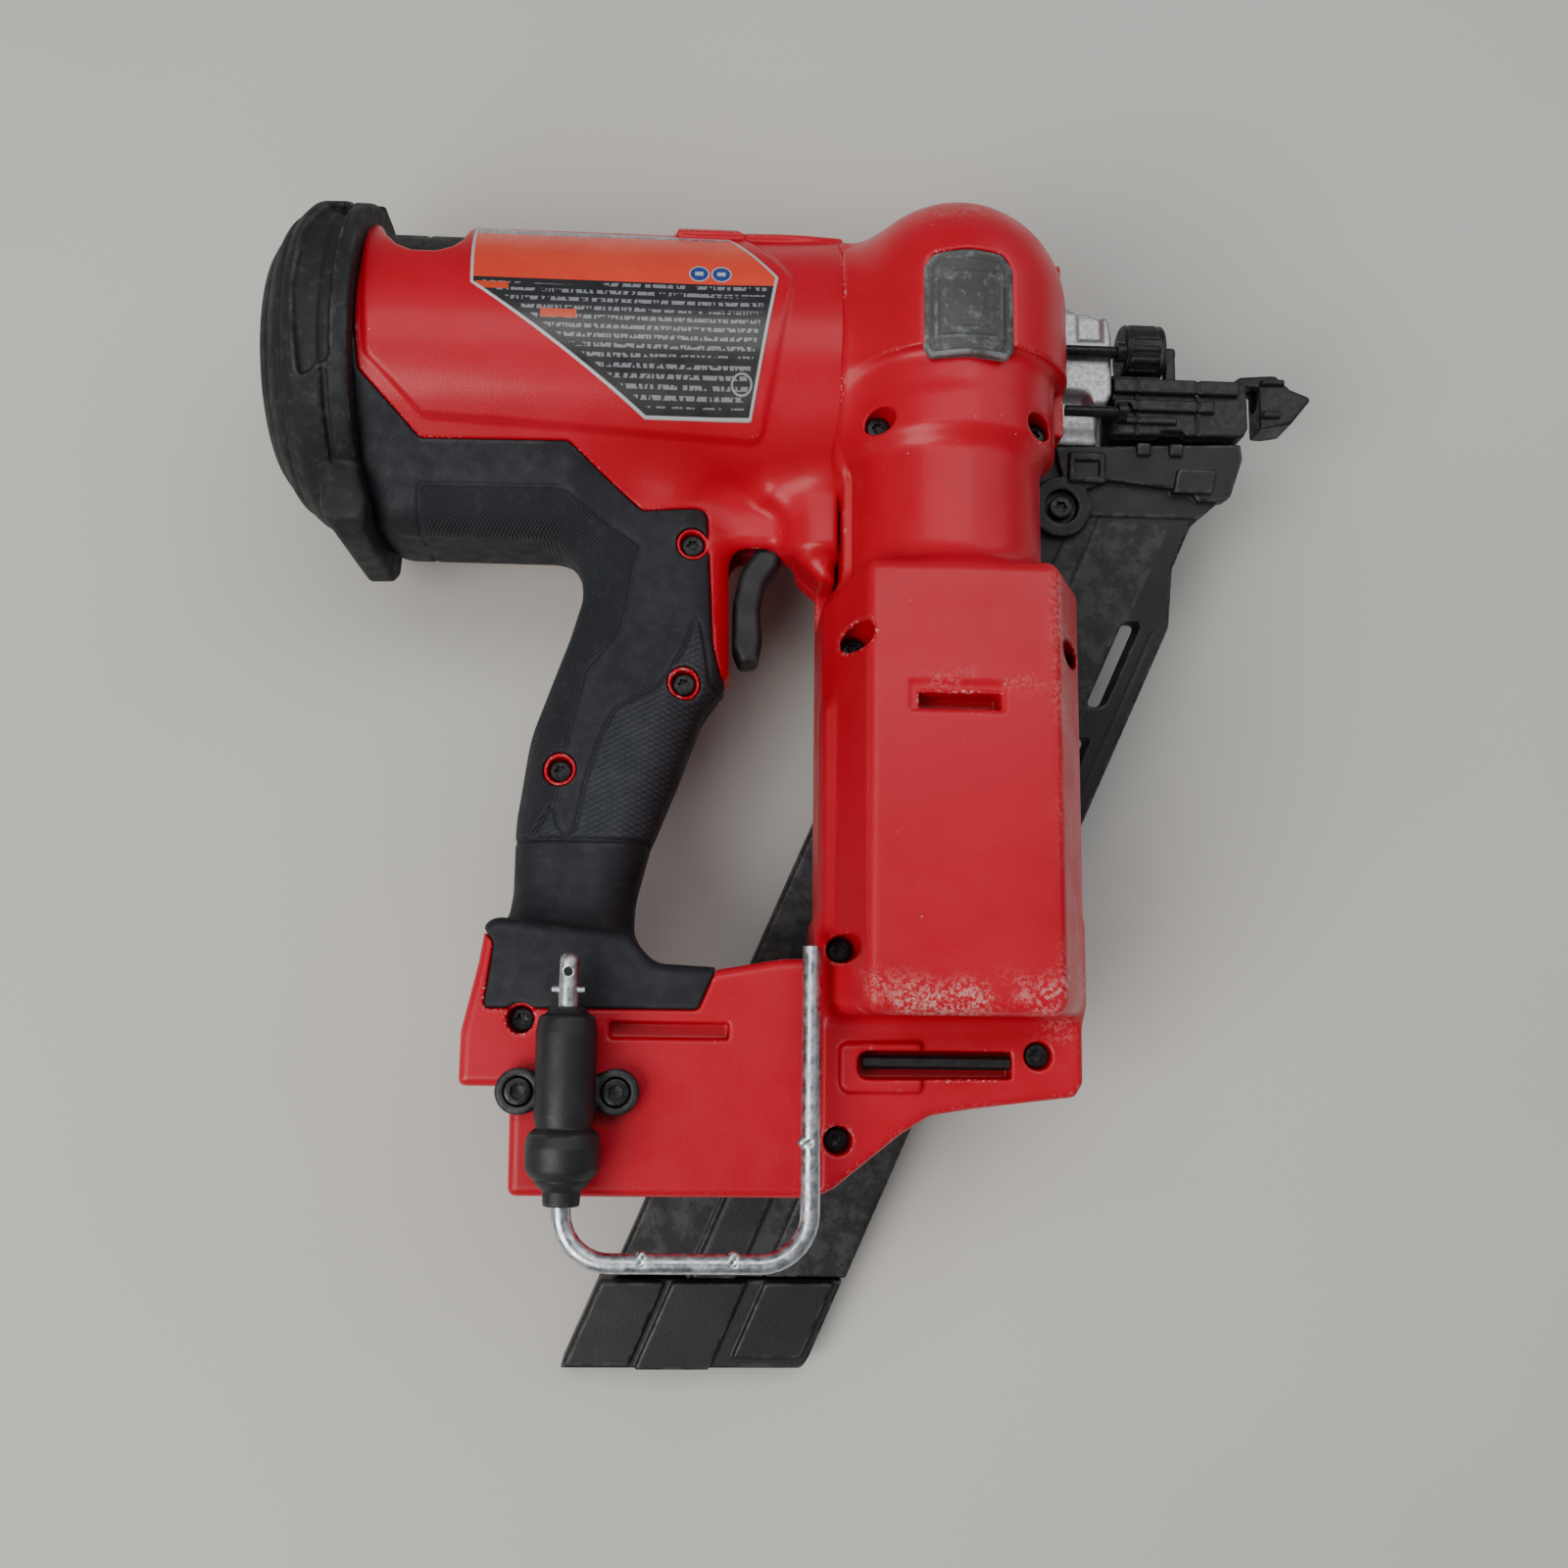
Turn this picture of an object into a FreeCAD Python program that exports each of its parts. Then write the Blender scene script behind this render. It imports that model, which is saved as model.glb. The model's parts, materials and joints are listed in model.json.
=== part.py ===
import FreeCAD, Part

import math
import os

import Sketcher

# A battery framing nailer lying on its right side. It is drawn about its drive axis: X runs
# forward along the axis to the muzzle tip at x = 0, Y runs from the handle up to the top of the
# barrel, and Z runs out of the tool's left side. The last step moves the whole tool so that the
# origin is at the bottom centre of its box.

doc = FreeCAD.newDocument("nailer")
sheet = doc.addObject("Spreadsheet::Sheet", "Sizes")
nodes = {}
rows = []


class Size:
    """A length or angle with the spreadsheet expression that gives it."""

    def __init__(self, value, text):
        self.value = value
        self.text = text

    def __add__(self, other):
        other = sized(other)
        return Size(self.value + other.value, f"({self.text} + {other.text})")

    def __sub__(self, other):
        other = sized(other)
        return Size(self.value - other.value, f"({self.text} - {other.text})")

    def __mul__(self, other):
        other = sized(other)
        return Size(self.value * other.value, f"({self.text} * {other.text})")

    def __truediv__(self, other):
        other = sized(other)
        return Size(self.value / other.value, f"({self.text} / {other.text})")

    def __neg__(self):
        return Size(-self.value, f"(-1 * {self.text})")

    __radd__ = __add__
    __rmul__ = __mul__

    def __rsub__(self, other):
        return sized(other) - self


def sized(value):
    """A plain number as a Size."""
    return value if isinstance(value, Size) else Size(float(value), f"({float(value)})")


def size(alias, value):
    """A driving dimension: one row of the spreadsheet."""
    rows.append(alias)
    sheet.set(f"A{len(rows)}", alias)
    sheet.set(f"B{len(rows)}", str(value))
    sheet.setAlias(f"B{len(rows)}", alias)
    return Size(float(value), f"Sizes.{alias}")


# ---------------------------------------------------------------- driving dimensions (mm, degrees)

gap = size("gap", 0.3)  # between pieces that move past each other
fit_gap = size("fit_gap", 0.05)  # radial clearance of a shaft in its bearing
wall = size("wall", 3.0)  # moulded housing

# barrel, along the drive axis
cap_radius = size("cap_radius", 58.0)
cap_back = size("cap_back", -377.5)
cap_front = size("cap_front", -340.0)
cap_wall = size("cap_wall", 4.5)
cap_foot_drop = size("cap_foot_drop", 14.0)  # how far the resting lug hangs below the cap
barrel_radius = size("barrel_radius", 50.0)
barrel_front = size("barrel_front", -176.8)
shoulder_back = size("shoulder_back", -234.0)
shoulder_radius = size("shoulder_radius", 52.5)
chin_bottom = size("chin_bottom", -62.0)
chin_front = size("chin_front", -262.0)
chin_half = size("chin_half", 25.0)
skin = size("skin", 2.0)  # rubber over the grip

# gas spring and driver
tank_radius = size("tank_radius", 37.0)
tank_wall = size("tank_wall", 2.5)
bore_radius = size("bore_radius", 24.0)
bore_wall = size("bore_wall", 2.0)
bore_back = size("bore_back", -324.0)
bore_front = size("bore_front", -184.0)
stroke = size("stroke", 110.0)
piston_length = size("piston_length", 12.0)
bumper_length = size("bumper_length", 12.0)
blade_tip = size("blade_tip", -116.0)
blade_half_thick = size("blade_half_thick", 2.0)
blade_half_height = size("blade_half_height", 3.5)
tooth_height = size("tooth_height", 6.0)
tooth_width = size("tooth_width", 3.5)

# lifter, gears and motor, on one axis parallel to the handle
lift_x = size("lift_x", -137.5)
lift_z = size("lift_z", 32.0)
pin_radius = size("pin_radius", 2.5)
pin_circle = size("pin_circle", 24.0)
pin_pitch_degrees = size("pin_pitch_degrees", 30.0)
gear_module = size("gear_module", 1.0)
gear_top = size("gear_top", -50.0)
gear_width = size("gear_width", 12.0)
motor_top = size("motor_top", -92.0)
motor_bottom = size("motor_bottom", -172.0)
stator_radius = size("stator_radius", 27.0)
rotor_radius = size("rotor_radius", 15.0)
shaft_radius = size("shaft_radius", 4.0)

# tower and motor cover on the left side
tower_radius = size("tower_radius", 39.0)
tower_top = size("tower_top", 12.0)
cover_back = size("cover_back", -183.0)
cover_front = size("cover_front", -98.0)
cover_face = size("cover_face", 71.0)
face_back = size("face_back", -170.0)
face_front = size("face_front", -111.0)
cover_shoulder = size("cover_shoulder", -88.0)
cover_step = size("cover_step", -228.0)
cover_bottom = size("cover_bottom", -253.0)
cover_foot_bottom = size("cover_foot_bottom", -286.0)
cover_side = size("cover_side", 38.0)
case_front_radius = size("case_front_radius", 46.0)

# handle and battery foot
grip_half = size("grip_half", 20.0)
foot_back = size("foot_back", -296.0)
foot_step_back = size("foot_step_back", -280.0)
foot_top = size("foot_top", -203.0)
foot_step = size("foot_step", -252.5)
foot_bottom = size("foot_bottom", -286.4)
foot_left = size("foot_left", 40.0)
foot_right = size("foot_right", 22.0)
rail_height = size("rail_height", 7.0)

# trigger
trigger_half = size("trigger_half", 8.0)
trigger_back = size("trigger_back", -205.0)
trigger_pin_x = size("trigger_pin_x", -205.0)
trigger_pin_y = size("trigger_pin_y", -59.0)
bridge_bottom = size("bridge_bottom", -66.0)
bridge_half = size("bridge_half", 13.0)

# nose
nose_back = size("nose_back", -98.0)
nose_front = size("nose_front", -75.5)
guide_front = size("guide_front", -25.0)
nail_radius = size("nail_radius", 4.0)
contact_wall = size("contact_wall", 3.0)
contact_travel = size("contact_travel", 5.3)
wheel_back = nose_front + contact_travel + gap  # the wheel stops against the nose block
wheel_radius = size("wheel_radius", 10.5)
wheel_length = size("wheel_length", 16.0)
wheel_y = size("wheel_y", 17.3)
rod_radius = size("rod_radius", 2.0)

# magazine, drawn in its own plane and then canted about the drive axis
magazine_cant = size("magazine_cant", 8.3)
magazine_slope = size("magazine_slope", 0.4245)  # backward run per unit of drop
magazine_half = size("magazine_half", 6.5)
magazine_wall = size("magazine_wall", 2.0)
magazine_top = size("magazine_top", -24.0)
magazine_bottom = size("magazine_bottom", -325.0)
magazine_end = size("magazine_end", -357.0)
magazine_rear = size("magazine_rear", -113.0)
magazine_front = size("magazine_front", -23.5)
magazine_flange = size("magazine_flange", -15.0)
magazine_lower_front = size("magazine_lower_front", -30.0)

# hook
hook_x = size("hook_x", -261.5)
hook_z = size("hook_z", 53.0)
hook_wire_radius = size("hook_wire_radius", 3.0)
hook_top = size("hook_top", -219.0)
hook_bottom = size("hook_bottom", -304.0)
hook_reach = size("hook_reach", 75.0)
hook_tip = size("hook_tip", -174.5)
hook_bend = size("hook_bend", 13.0)
hook_barrel_radius = size("hook_barrel_radius", 10.0)

# fasteners
screw_radius = size("screw_radius", 2.0)
screw_head_radius = size("screw_head_radius", 3.7)
screw_head_height = size("screw_head_height", 3.0)
socket_depth = size("socket_depth", 2.0)


# ---------------------------------------------------------------- helpers


def bind(thing, name, value):
    """Sets a property by the expression of a Size."""
    thing.setExpression(name, sized(value).text)


def node(label, thing):
    """Makes a finished sub-part of a shape, which other shapes may still be cut by."""
    part = doc.addObject("Part::Compound", f"{label}_part")
    part.Links = [thing]
    part.Label = label
    nodes[label] = part
    return thing


def box(name, x_range, y_range, z_range):
    """A box between two values on each axis."""
    thing = doc.addObject("Part::Box", name)
    for side, low_high, place in zip(("Length", "Width", "Height"), (x_range, y_range, z_range), "xyz"):
        low, high = sized(low_high[0]), sized(low_high[1])
        bind(thing, side, high - low)
        bind(thing, f"Placement.Base.{place}", low)
    return thing


TURNS = {
    "X": FreeCAD.Rotation(FreeCAD.Vector(0, 1, 0), 90),
    "Y": FreeCAD.Rotation(FreeCAD.Vector(1, 0, 0), -90),
    "Z": FreeCAD.Rotation(),
}


def rod(name, axis, start, length, radius):
    """A cylinder from start, an (x, y, z), along +X, +Y or +Z."""
    thing = doc.addObject("Part::Cylinder", name)
    thing.Placement = FreeCAD.Placement(FreeCAD.Vector(), TURNS[axis])
    bind(thing, "Height", length)
    bind(thing, "Radius", radius)
    for place, value in zip("xyz", start):
        bind(thing, f"Placement.Base.{place}", value)
    return thing


def ball(name, centre, radius):
    """A sphere."""
    thing = doc.addObject("Part::Sphere", name)
    bind(thing, "Radius", radius)
    for place, value in zip("xyz", centre):
        bind(thing, f"Placement.Base.{place}", value)
    return thing


def group(kind, name, things):
    """A union of several shapes, or their common part."""
    thing = doc.addObject(kind, name)
    thing.Shapes = list(things)
    return thing


def fuse(name, *things):
    return group("Part::MultiFuse", name, things)


def common(name, *things):
    return group("Part::MultiCommon", name, things)


def cut(name, base, *tools):
    """The base with every tool taken away."""
    thing = doc.addObject("Part::Cut", name)
    thing.Base = base
    thing.Tool = tools[0] if len(tools) == 1 else fuse(f"{name}_tools", *tools)
    return thing


def tube(name, axis, start, length, outer, inner):
    """A round tube."""
    return cut(
        name,
        rod(f"{name}_outer", axis, start, length, outer),
        rod(f"{name}_bore", axis, start, length, inner),
    )


PLANES = {
    "XY": (FreeCAD.Rotation(), FreeCAD.Vector(0, 0, 1)),
    "XZ": (FreeCAD.Rotation(FreeCAD.Vector(1, 0, 0), 90), FreeCAD.Vector(0, 1, 0)),
    "YZ": (FreeCAD.Rotation(90, 0, 90), FreeCAD.Vector(1, 0, 0)),
}


def outline(name, plane, points):
    """A closed sketch of straight lines through points, every one bound to the sheet."""
    sketch = doc.addObject("Sketcher::SketchObject", name)
    sketch.Placement = FreeCAD.Placement(FreeCAD.Vector(), PLANES[plane][0])
    flat = [FreeCAD.Vector(sized(across).value, sized(up).value, 0) for across, up in points]
    for here, following in zip(flat, flat[1:] + flat[:1]):
        sketch.addGeometry(Part.LineSegment(here, following))
    for index, (across, up) in enumerate(points):
        following = (index + 1) % len(points)
        sketch.addConstraint(Sketcher.Constraint("Coincident", index, 2, following, 1))
        for kind, value in (("DistanceX", sized(across)), ("DistanceY", sized(up))):
            place = sketch.addConstraint(Sketcher.Constraint(kind, -1, 1, index, 1, value.value))
            sketch.setExpression(f"Constraints[{place}]", value.text)
    return sketch


def prism(name, plane, points, start, end, inset=0):
    """An outline, drawn inwards by inset if given, extruded between two places on its normal."""
    profile = outline(f"{name}_outline", plane, points)
    if sized(inset).value:
        inner = doc.addObject("Part::Offset2D", f"{name}_inset")
        inner.Source = profile
        inner.Join = "Intersection"
        bind(inner, "Value", -sized(inset))
        profile = inner
    thing = doc.addObject("Part::Extrusion", name)
    thing.Base = profile
    thing.DirMode = "Custom"
    thing.Dir = PLANES[plane][1]
    thing.Solid = True
    bind(thing, "LengthFwd", sized(end) - start)
    place = {"XY": "z", "XZ": "y", "YZ": "x"}[plane]
    bind(thing, f"Placement.Base.{place}", start)
    return thing


def turned(name, points):
    """An outline of (x, y) points turned about the drive axis."""
    thing = doc.addObject("Part::Revolution", name)
    thing.Source = outline(f"{name}_outline", "XY", points)
    thing.Axis = FreeCAD.Vector(1, 0, 0)
    thing.Angle = 360
    thing.Solid = True
    return thing


def screw(name, axis, sign, head, length):
    """A socket screw whose head sits at head and whose shank runs along the axis by sign."""
    place = "XYZ".index(axis)
    shank_start = list(head)
    head_start = list(head)
    if sign < 0:
        shank_start[place] = head[place] - length
        head_start[place] = head[place] - screw_head_height
    body = fuse(
        f"{name}_body",
        rod(f"{name}_shank", axis, shank_start, length, screw_radius),
        rod(f"{name}_head", axis, head_start, screw_head_height, screw_head_radius),
    )
    socket_start = list(head)
    socket_start[place] = head[place] - socket_depth if sign < 0 else head[place]
    return cut(name, body, rod(f"{name}_socket", axis, socket_start, socket_depth, screw_radius * 0.8))


def made(name, shape):
    """A sub-part whose shape is worked out with Part's own functions."""
    thing = doc.addObject("Part::Feature", name)
    thing.Shape = shape
    return thing


# ---------------------------------------------------------------- housing outlines

handle = [
    (-220, -55),
    (-211.5, -113),
    (-223, -127),
    (-231, -149),
    (-240.5, -174),
    (-244.5, -192),
    (-244.5, foot_top - 10),
    (-288, foot_top - 10),
    (-284.5, -186),
    (-284.5, -166),
    (-280.5, -136),
    (-268.5, -101),
    (chin_front - 2, -74),
    (chin_front - 2, -25),
    (-220, -25),
]
foot = [
    (foot_back, foot_top + 2),
    (foot_back, foot_step),
    (foot_step_back, foot_step),
    (foot_step_back, foot_bottom),
    (cover_back - gap, foot_bottom),
    (cover_back - gap, foot_top - 8),
    (-215, foot_top - 14),
    (-220, foot_top - 8),
    (-244, foot_top),
]
half_space = 400
ear_y, ear_reach = -254.0, 15.0  # the hook mount's two screws


def half(name, side):
    """The half space on one side of the plane z = 0."""
    return box(
        name,
        (-half_space, half_space),
        (-half_space, half_space),
        (0, half_space) if side > 0 else (-half_space, 0),
    )


# ---------------------------------------------------------------- housing screws and bosses

fixing_spots = {
    "shell_screws": [
        (-227, -68, grip_half + 0.3, 20),
        (-229, -117.5, grip_half - 0.3, 20),
        (-270, -148.5, grip_half - 0.3, 20),
        (-277.5, -232, foot_left - 0.5, 20),
    ],
    "cover_screws": [
        (-177, -268.5, foot_left - 0.5, 20),
        (-113, -241.5, foot_left - 0.5, 20),
        (-176.8, -209, cover_side + 8, 20),
        (-174.5, -113, cover_side + 14, 20),
        (-104, -113, cover_side + 8, 20),
        (-169, -43, lift_z + 25, 6),
        (-108, -43, lift_z + 22, 6),
    ],
}
well_radius = screw_head_radius + 0.8
boss_radius = well_radius + 1.6


def column(name, spot, low, high, radius):
    """An upright cylinder at a fixing, from low to high."""
    return rod(name, "Z", (spot[0], spot[1], low), sized(high) - low, radius)


def together(name, things):
    """One object for a list of one or more."""
    return things[0] if len(things) == 1 else fuse(name, *things)


fixings, bosses, wells = {}, {}, {}
for label, spots in fixing_spots.items():
    screws = [
        screw(f"{label}_{index}", "Z", -1, list(spot[:3]), spot[3]) for index, spot in enumerate(spots)
    ]
    posts = [
        column(
            f"{label}_boss_{index}",
            spot,
            sized(spot[2]) - spot[3] + 1,
            sized(spot[2]) + 40,
            boss_radius,
        )
        for index, spot in enumerate(spots)
    ]
    holes = [
        fuse(
            f"{label}_well_{index}",
            column(f"{label}_well_mouth_{index}", spot, spot[2], sized(spot[2]) + 41, well_radius),
            column(
                f"{label}_well_socket_{index}",
                spot,
                sized(spot[2]) - socket_depth,
                sized(spot[2]) + 1,
                screw_radius,
            ),
        )
        for index, spot in enumerate(spots)
    ]
    fixings[label] = node(label, together(f"{label}_group", screws))
    bosses[label] = together(f"{label}_bosses", posts)
    wells[label] = together(f"{label}_wells", holes)

# ---------------------------------------------------------------- clamshell

for side, name in ((1, "left"), (-1, "right")):
    foot_depth = foot_left if side > 0 else foot_right
    low, high = (0, grip_half - skin) if side > 0 else (-(grip_half - skin), 0)
    inner_low, inner_high = (0, grip_half - skin - wall) if side > 0 else (
        -(grip_half - skin - wall), 0
    )
    chin_low, chin_high = (0, chin_half) if side > 0 else (-chin_half, 0)
    foot_low, foot_high = (0, foot_depth) if side > 0 else (-foot_depth, 0)
    cavity_low, cavity_high = (0, foot_depth - wall) if side > 0 else (-(foot_depth - wall), 0)
    outside = fuse(
        f"shell_{name}_outside",
        rod(f"shell_{name}_barrel", "X", (cap_front, 0, 0), barrel_front - cap_front, barrel_radius),
        rod(
            f"shell_{name}_shoulder",
            "X",
            (shoulder_back, 0, 0),
            barrel_front - shoulder_back,
            shoulder_radius,
        ),
        box(f"shell_{name}_chin", (cap_front, chin_front), (chin_bottom, -30), (chin_low, chin_high)),
        prism(f"shell_{name}_handle", "XY", handle, low, high, skin),
        prism(f"shell_{name}_foot", "XY", foot, foot_low, foot_high),
        box(
            f"shell_{name}_bridge",
            (-222, cover_back - gap),
            (bridge_bottom, -30),
            (-bridge_half, bridge_half),
        ),
    )
    inside = fuse(
        f"shell_{name}_inside",
        rod(
            f"shell_{name}_bore",
            "X",
            (cap_front - 1, 0, 0),
            barrel_front - cap_front + 2,
            barrel_radius - wall,
        ),
        box(
            f"shell_{name}_chin_hollow",
            (cap_front + wall, chin_front - wall),
            (chin_bottom + wall, -30),
            (chin_low, chin_high - wall) if side > 0 else (chin_low + wall, chin_high),
        ),
        prism(f"shell_{name}_handle_hollow", "XY", handle, inner_low, inner_high, skin + wall),
        box(
            f"shell_{name}_board_space",
            (foot_back + wall, cover_back - gap - wall),
            (foot_step + wall, foot_top - 12 - wall),
            (cavity_low, cavity_high),
        ),
        box(
            f"shell_{name}_battery_space",
            (foot_step_back - 20, cover_back - gap - wall),
            (foot_bottom - 1, foot_step),
            (cavity_low, cavity_high),
        ),
        box(f"shell_{name}_neck", (-282, -248), (foot_top - 20, foot_top + 5), (inner_low, inner_high)),
        box(
            f"shell_{name}_trigger_window",
            (-222, trigger_back),
            (-110, bridge_bottom + 10),
            (-trigger_half - gap, trigger_half + gap),
        ),
        box(
            f"shell_{name}_trigger_slot",
            (-220, -195),
            (bridge_bottom - 1, bridge_bottom + 12),
            (-trigger_half - gap, trigger_half + gap),
        ),
        rod(
            f"shell_{name}_trigger_hole",
            "Z",
            (trigger_pin_x, trigger_pin_y, -bridge_half + 2),
            bridge_half * 2 - 4,
            1.5,
        ),
    )
    shell = common(
        f"shell_{name}", cut(f"shell_{name}_whole", outside, inside), half(f"shell_{name}_half", side)
    )
    if side > 0:
        posts = common("shell_posts", outside, bosses["shell_screws"])
        hook_holes = [
            column(f"shell_hook_hole_{index}", (spot, ear_y), foot_left - 10, foot_left, screw_radius)
            for index, spot in enumerate((hook_x - ear_reach, hook_x + ear_reach))
        ]
        shell = cut(
            "shell_left_drilled",
            fuse("shell_left_posted", shell, posts),
            fixings["shell_screws"],
            wells["shell_screws"],
            *hook_holes,
        )
    node(f"housing_{name}", shell)

    low, high = (0, grip_half) if side > 0 else (-grip_half, 0)
    core_low, core_high = (0, grip_half - skin) if side > 0 else (-(grip_half - skin), 0)
    grip_skin = common(
        f"grip_{name}_skin",
        cut(
            f"grip_{name}_shell",
            prism(f"grip_{name}_outside", "XY", handle, low, high),
            prism(f"grip_{name}_core", "XY", handle, core_low, core_high, skin),
            rod(
                f"grip_{name}_barrel", "X", (cap_front, 0, 0), barrel_front - cap_front, shoulder_radius
            ),
            box(
                f"grip_{name}_trigger_window",
                (-222, trigger_back),
                (-110, -50),
                (-trigger_half - gap, trigger_half + gap),
            ),
            fuse(f"grip_{name}_wells", bosses["shell_screws"], wells["shell_screws"]),
        ),
        box(f"grip_{name}_extent", (-300, -205), (foot_top + 2, bridge_bottom), (-grip_half, grip_half)),
    )
    node(f"grip_{name}", grip_skin)

    chin_skin = cut(
        f"chin_{name}_shell",
        common(
            f"chin_{name}_outside",
            fuse(
                f"chin_{name}_solid",
                rod(
                    f"chin_{name}_round",
                    "X",
                    (cap_front + gap, 0, 0),
                    chin_front - cap_front,
                    barrel_radius + skin,
                ),
                box(
                    f"chin_{name}_block",
                    (cap_front + gap, chin_front + gap),
                    (chin_bottom - skin, -30),
                    (chin_low, chin_half + skin) if side > 0 else (-(chin_half + skin), chin_high),
                ),
            ),
            half(f"chin_{name}_half", side),
            box(f"chin_{name}_extent", (cap_front + gap, chin_front), (-80, -22), (-80, 80)),
        ),
        rod(f"chin_{name}_barrel", "X", (cap_front, 0, 0), barrel_front - cap_front, barrel_radius),
        box(f"chin_{name}_core", (cap_front, chin_front), (chin_bottom, -30), (chin_low, chin_high)),
        prism(f"chin_{name}_handle", "XY", handle, -grip_half, grip_half),
    )
    node(f"barrel_overmold_{name}", chin_skin)

# ---------------------------------------------------------------- rear cap and barrel trim

foot_half, foot_chamfer = 36, 7
cap_foot = [
    (-40, -foot_half),
    (foot_chamfer - cap_radius - cap_foot_drop, -foot_half),
    (-cap_radius - cap_foot_drop, foot_chamfer - foot_half),
    (-cap_radius - cap_foot_drop, foot_half - foot_chamfer),
    (foot_chamfer - cap_radius - cap_foot_drop, foot_half),
    (-40, foot_half),
]
cap = fuse(
    "cap_solid",
    turned(
        "cap_round",
        [
            (cap_back, 0),
            (cap_back, 22),
            (cap_back + 4, cap_radius - 16),
            (cap_back + 11, cap_radius - 7),
            (cap_back + 20, cap_radius),
            (cap_front - gap, cap_radius),
            (cap_front - gap, 0),
        ],
    ),
    prism("cap_foot", "YZ", cap_foot, cap_front - 15, cap_front - gap),
    box("cap_tab", (cap_front - 10, cap_front - gap), (40, cap_radius + 1.5), (-12, 12)),
)
cap_hollow = turned(
    "cap_hollow",
    [
        (cap_back + cap_wall, 0),
        (cap_back + cap_wall, 20),
        (cap_back + cap_wall + 5, cap_radius - 20),
        (cap_back + cap_wall + 11, cap_radius - 12),
        (cap_back + cap_wall + 18, cap_radius - cap_wall),
        (cap_front, cap_radius - cap_wall),
        (cap_front, 0),
    ],
)
node("rear_cap", cut("cap_shell", cap, cap_hollow))

plate = common(
    "label_plate",
    tube("label_ring", "X", (-310, 0, 0), 110, barrel_radius + 0.8, barrel_radius),
    prism(
        "label_shape",
        "XY",
        [(-306, 40), (-262, 40), (-238, 40), (-238, 15), (-238, -12), (-262, -12), (-304, 15)],
        0,
        80,
    ),
)
node("label", plate)

# ---------------------------------------------------------------- front case, tower and motor cover

front_case = common(
    "front_case_half",
    tube(
        "front_case_tube",
        "X",
        (barrel_front, 0, 0),
        nose_back - barrel_front,
        case_front_radius,
        case_front_radius - wall,
    ),
    box(
        "front_case_extent", (barrel_front, nose_back), (magazine_top + 2, half_space), (-half_space, 0)
    ),
)
front_floor = box(
    "front_floor", (barrel_front, -127), (magazine_top - 1, magazine_top + 2), (gap - 40, -wall)
)
node("front_case", fuse("front_case_shell", front_case, front_floor))

bumper_right = cut(
    "bumper_right_pad",
    box("bumper_right_block", (-150, -112), (-16, 20), (-cap_radius, -case_front_radius + 10)),
    rod("bumper_right_seat", "X", (barrel_front, 0, 0), nose_back - barrel_front, case_front_radius),
)
node("side_bumper_right", bumper_right)

tower_back = lift_x - tower_radius
tower_front = lift_x + tower_radius
motor_section = [
    (cover_back, gap),
    (cover_back, cover_side),
    (face_back, cover_face),
    (face_front, cover_face),
    (cover_front, cover_side + 3),
    (cover_front, gap),
]
low_section = [
    (cover_back, gap),
    (cover_back, foot_left - 1),
    (cover_front, foot_left - 1),
    (cover_front, gap),
]
skirt = [
    (cover_back, cover_step + 3),
    (cover_back, cover_foot_bottom),
    (-174, cover_foot_bottom),
    (-150, cover_bottom - 8),
    (cover_front, cover_bottom),
    (cover_front, cover_step + 3),
]


def cover_form(name, inset):
    """The outside of the motor cover, or its inside when inset by the wall."""
    tower_wall = sized(inset)
    side_step = 0.5
    return fuse(
        f"{name}_form",
        rod(
            f"{name}_tower",
            "Y",
            (lift_x, cover_shoulder - 2 * tower_wall, lift_z),
            tower_top - cover_shoulder + 2 * tower_wall,
            tower_radius - tower_wall,
        ),
        ball(f"{name}_dome", (lift_x, tower_top, lift_z), tower_radius - tower_wall),
        box(
            f"{name}_tower_root",
            (tower_back + tower_wall + side_step, tower_front - tower_wall - side_step),
            (cover_shoulder, tower_top + 22 - tower_wall),
            (gap, lift_z + side_step),
        ),
        prism(
            f"{name}_motor",
            "XZ",
            motor_section,
            cover_step + tower_wall,
            cover_shoulder - tower_wall,
            inset,
        ),
        prism(f"{name}_skirt", "XY", skirt, gap, foot_left - tower_wall, inset),
    )


cover_outside = cover_form("cover_outside", 0)
cover_inside = fuse(
    "cover_inside_open",
    cover_form("cover_inside", wall),
    box(
        "cover_motor_open",
        (cover_back + wall, cover_front - wall),
        (cover_step + wall, cover_shoulder - wall),
        (gap, 30),
    ),
    box(
        "cover_tower_open",
        (tower_back + wall, tower_front - wall),
        (cover_shoulder - wall - 1, tower_top + 18),
        (0, 30),
    ),
    box("cover_blade_open", (tower_back - 1, tower_front + 1), (-30, 24), (0, 24)),
    prism("cover_skirt_open", "XY", skirt, 0, 20, wall),
)
pad_face = lift_z + tower_radius
cover_pad_seat = box("cover_pad_seat", (-153, -124), (-19, 17), (pad_face - 6, pad_face + 10))
cover_slot = box("cover_slot", (-155, -129), (-134.5, -129.5), (cover_face - wall - 1, cover_face + 1))
key_slot = box("key_slot", (-171, -120), (-247.5, -240.5), (foot_left - 7, foot_left + 1))
cover_space = box(
    "cover_space", (-half_space, half_space), (-half_space, half_space), (gap, half_space)
)
magazine_room = box("magazine_room", (-141, -85), (-66, magazine_top + 2), (-20, 6))
cover = cut(
    "cover_shell",
    common("cover_near", cover_outside, cover_space),
    cover_inside,
    cover_pad_seat,
    cover_slot,
    magazine_room,
)
key_tray = cut(
    "key_tray",
    box("key_tray_block", (-173, -118), (-250, -238), (foot_left - 9, foot_left - wall + 0.5)),
    key_slot,
)
cover_posts = cut(
    "cover_posts",
    common("cover_posts_inside", cover_outside, bosses["cover_screws"], cover_space),
    magazine_room,
)
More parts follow.
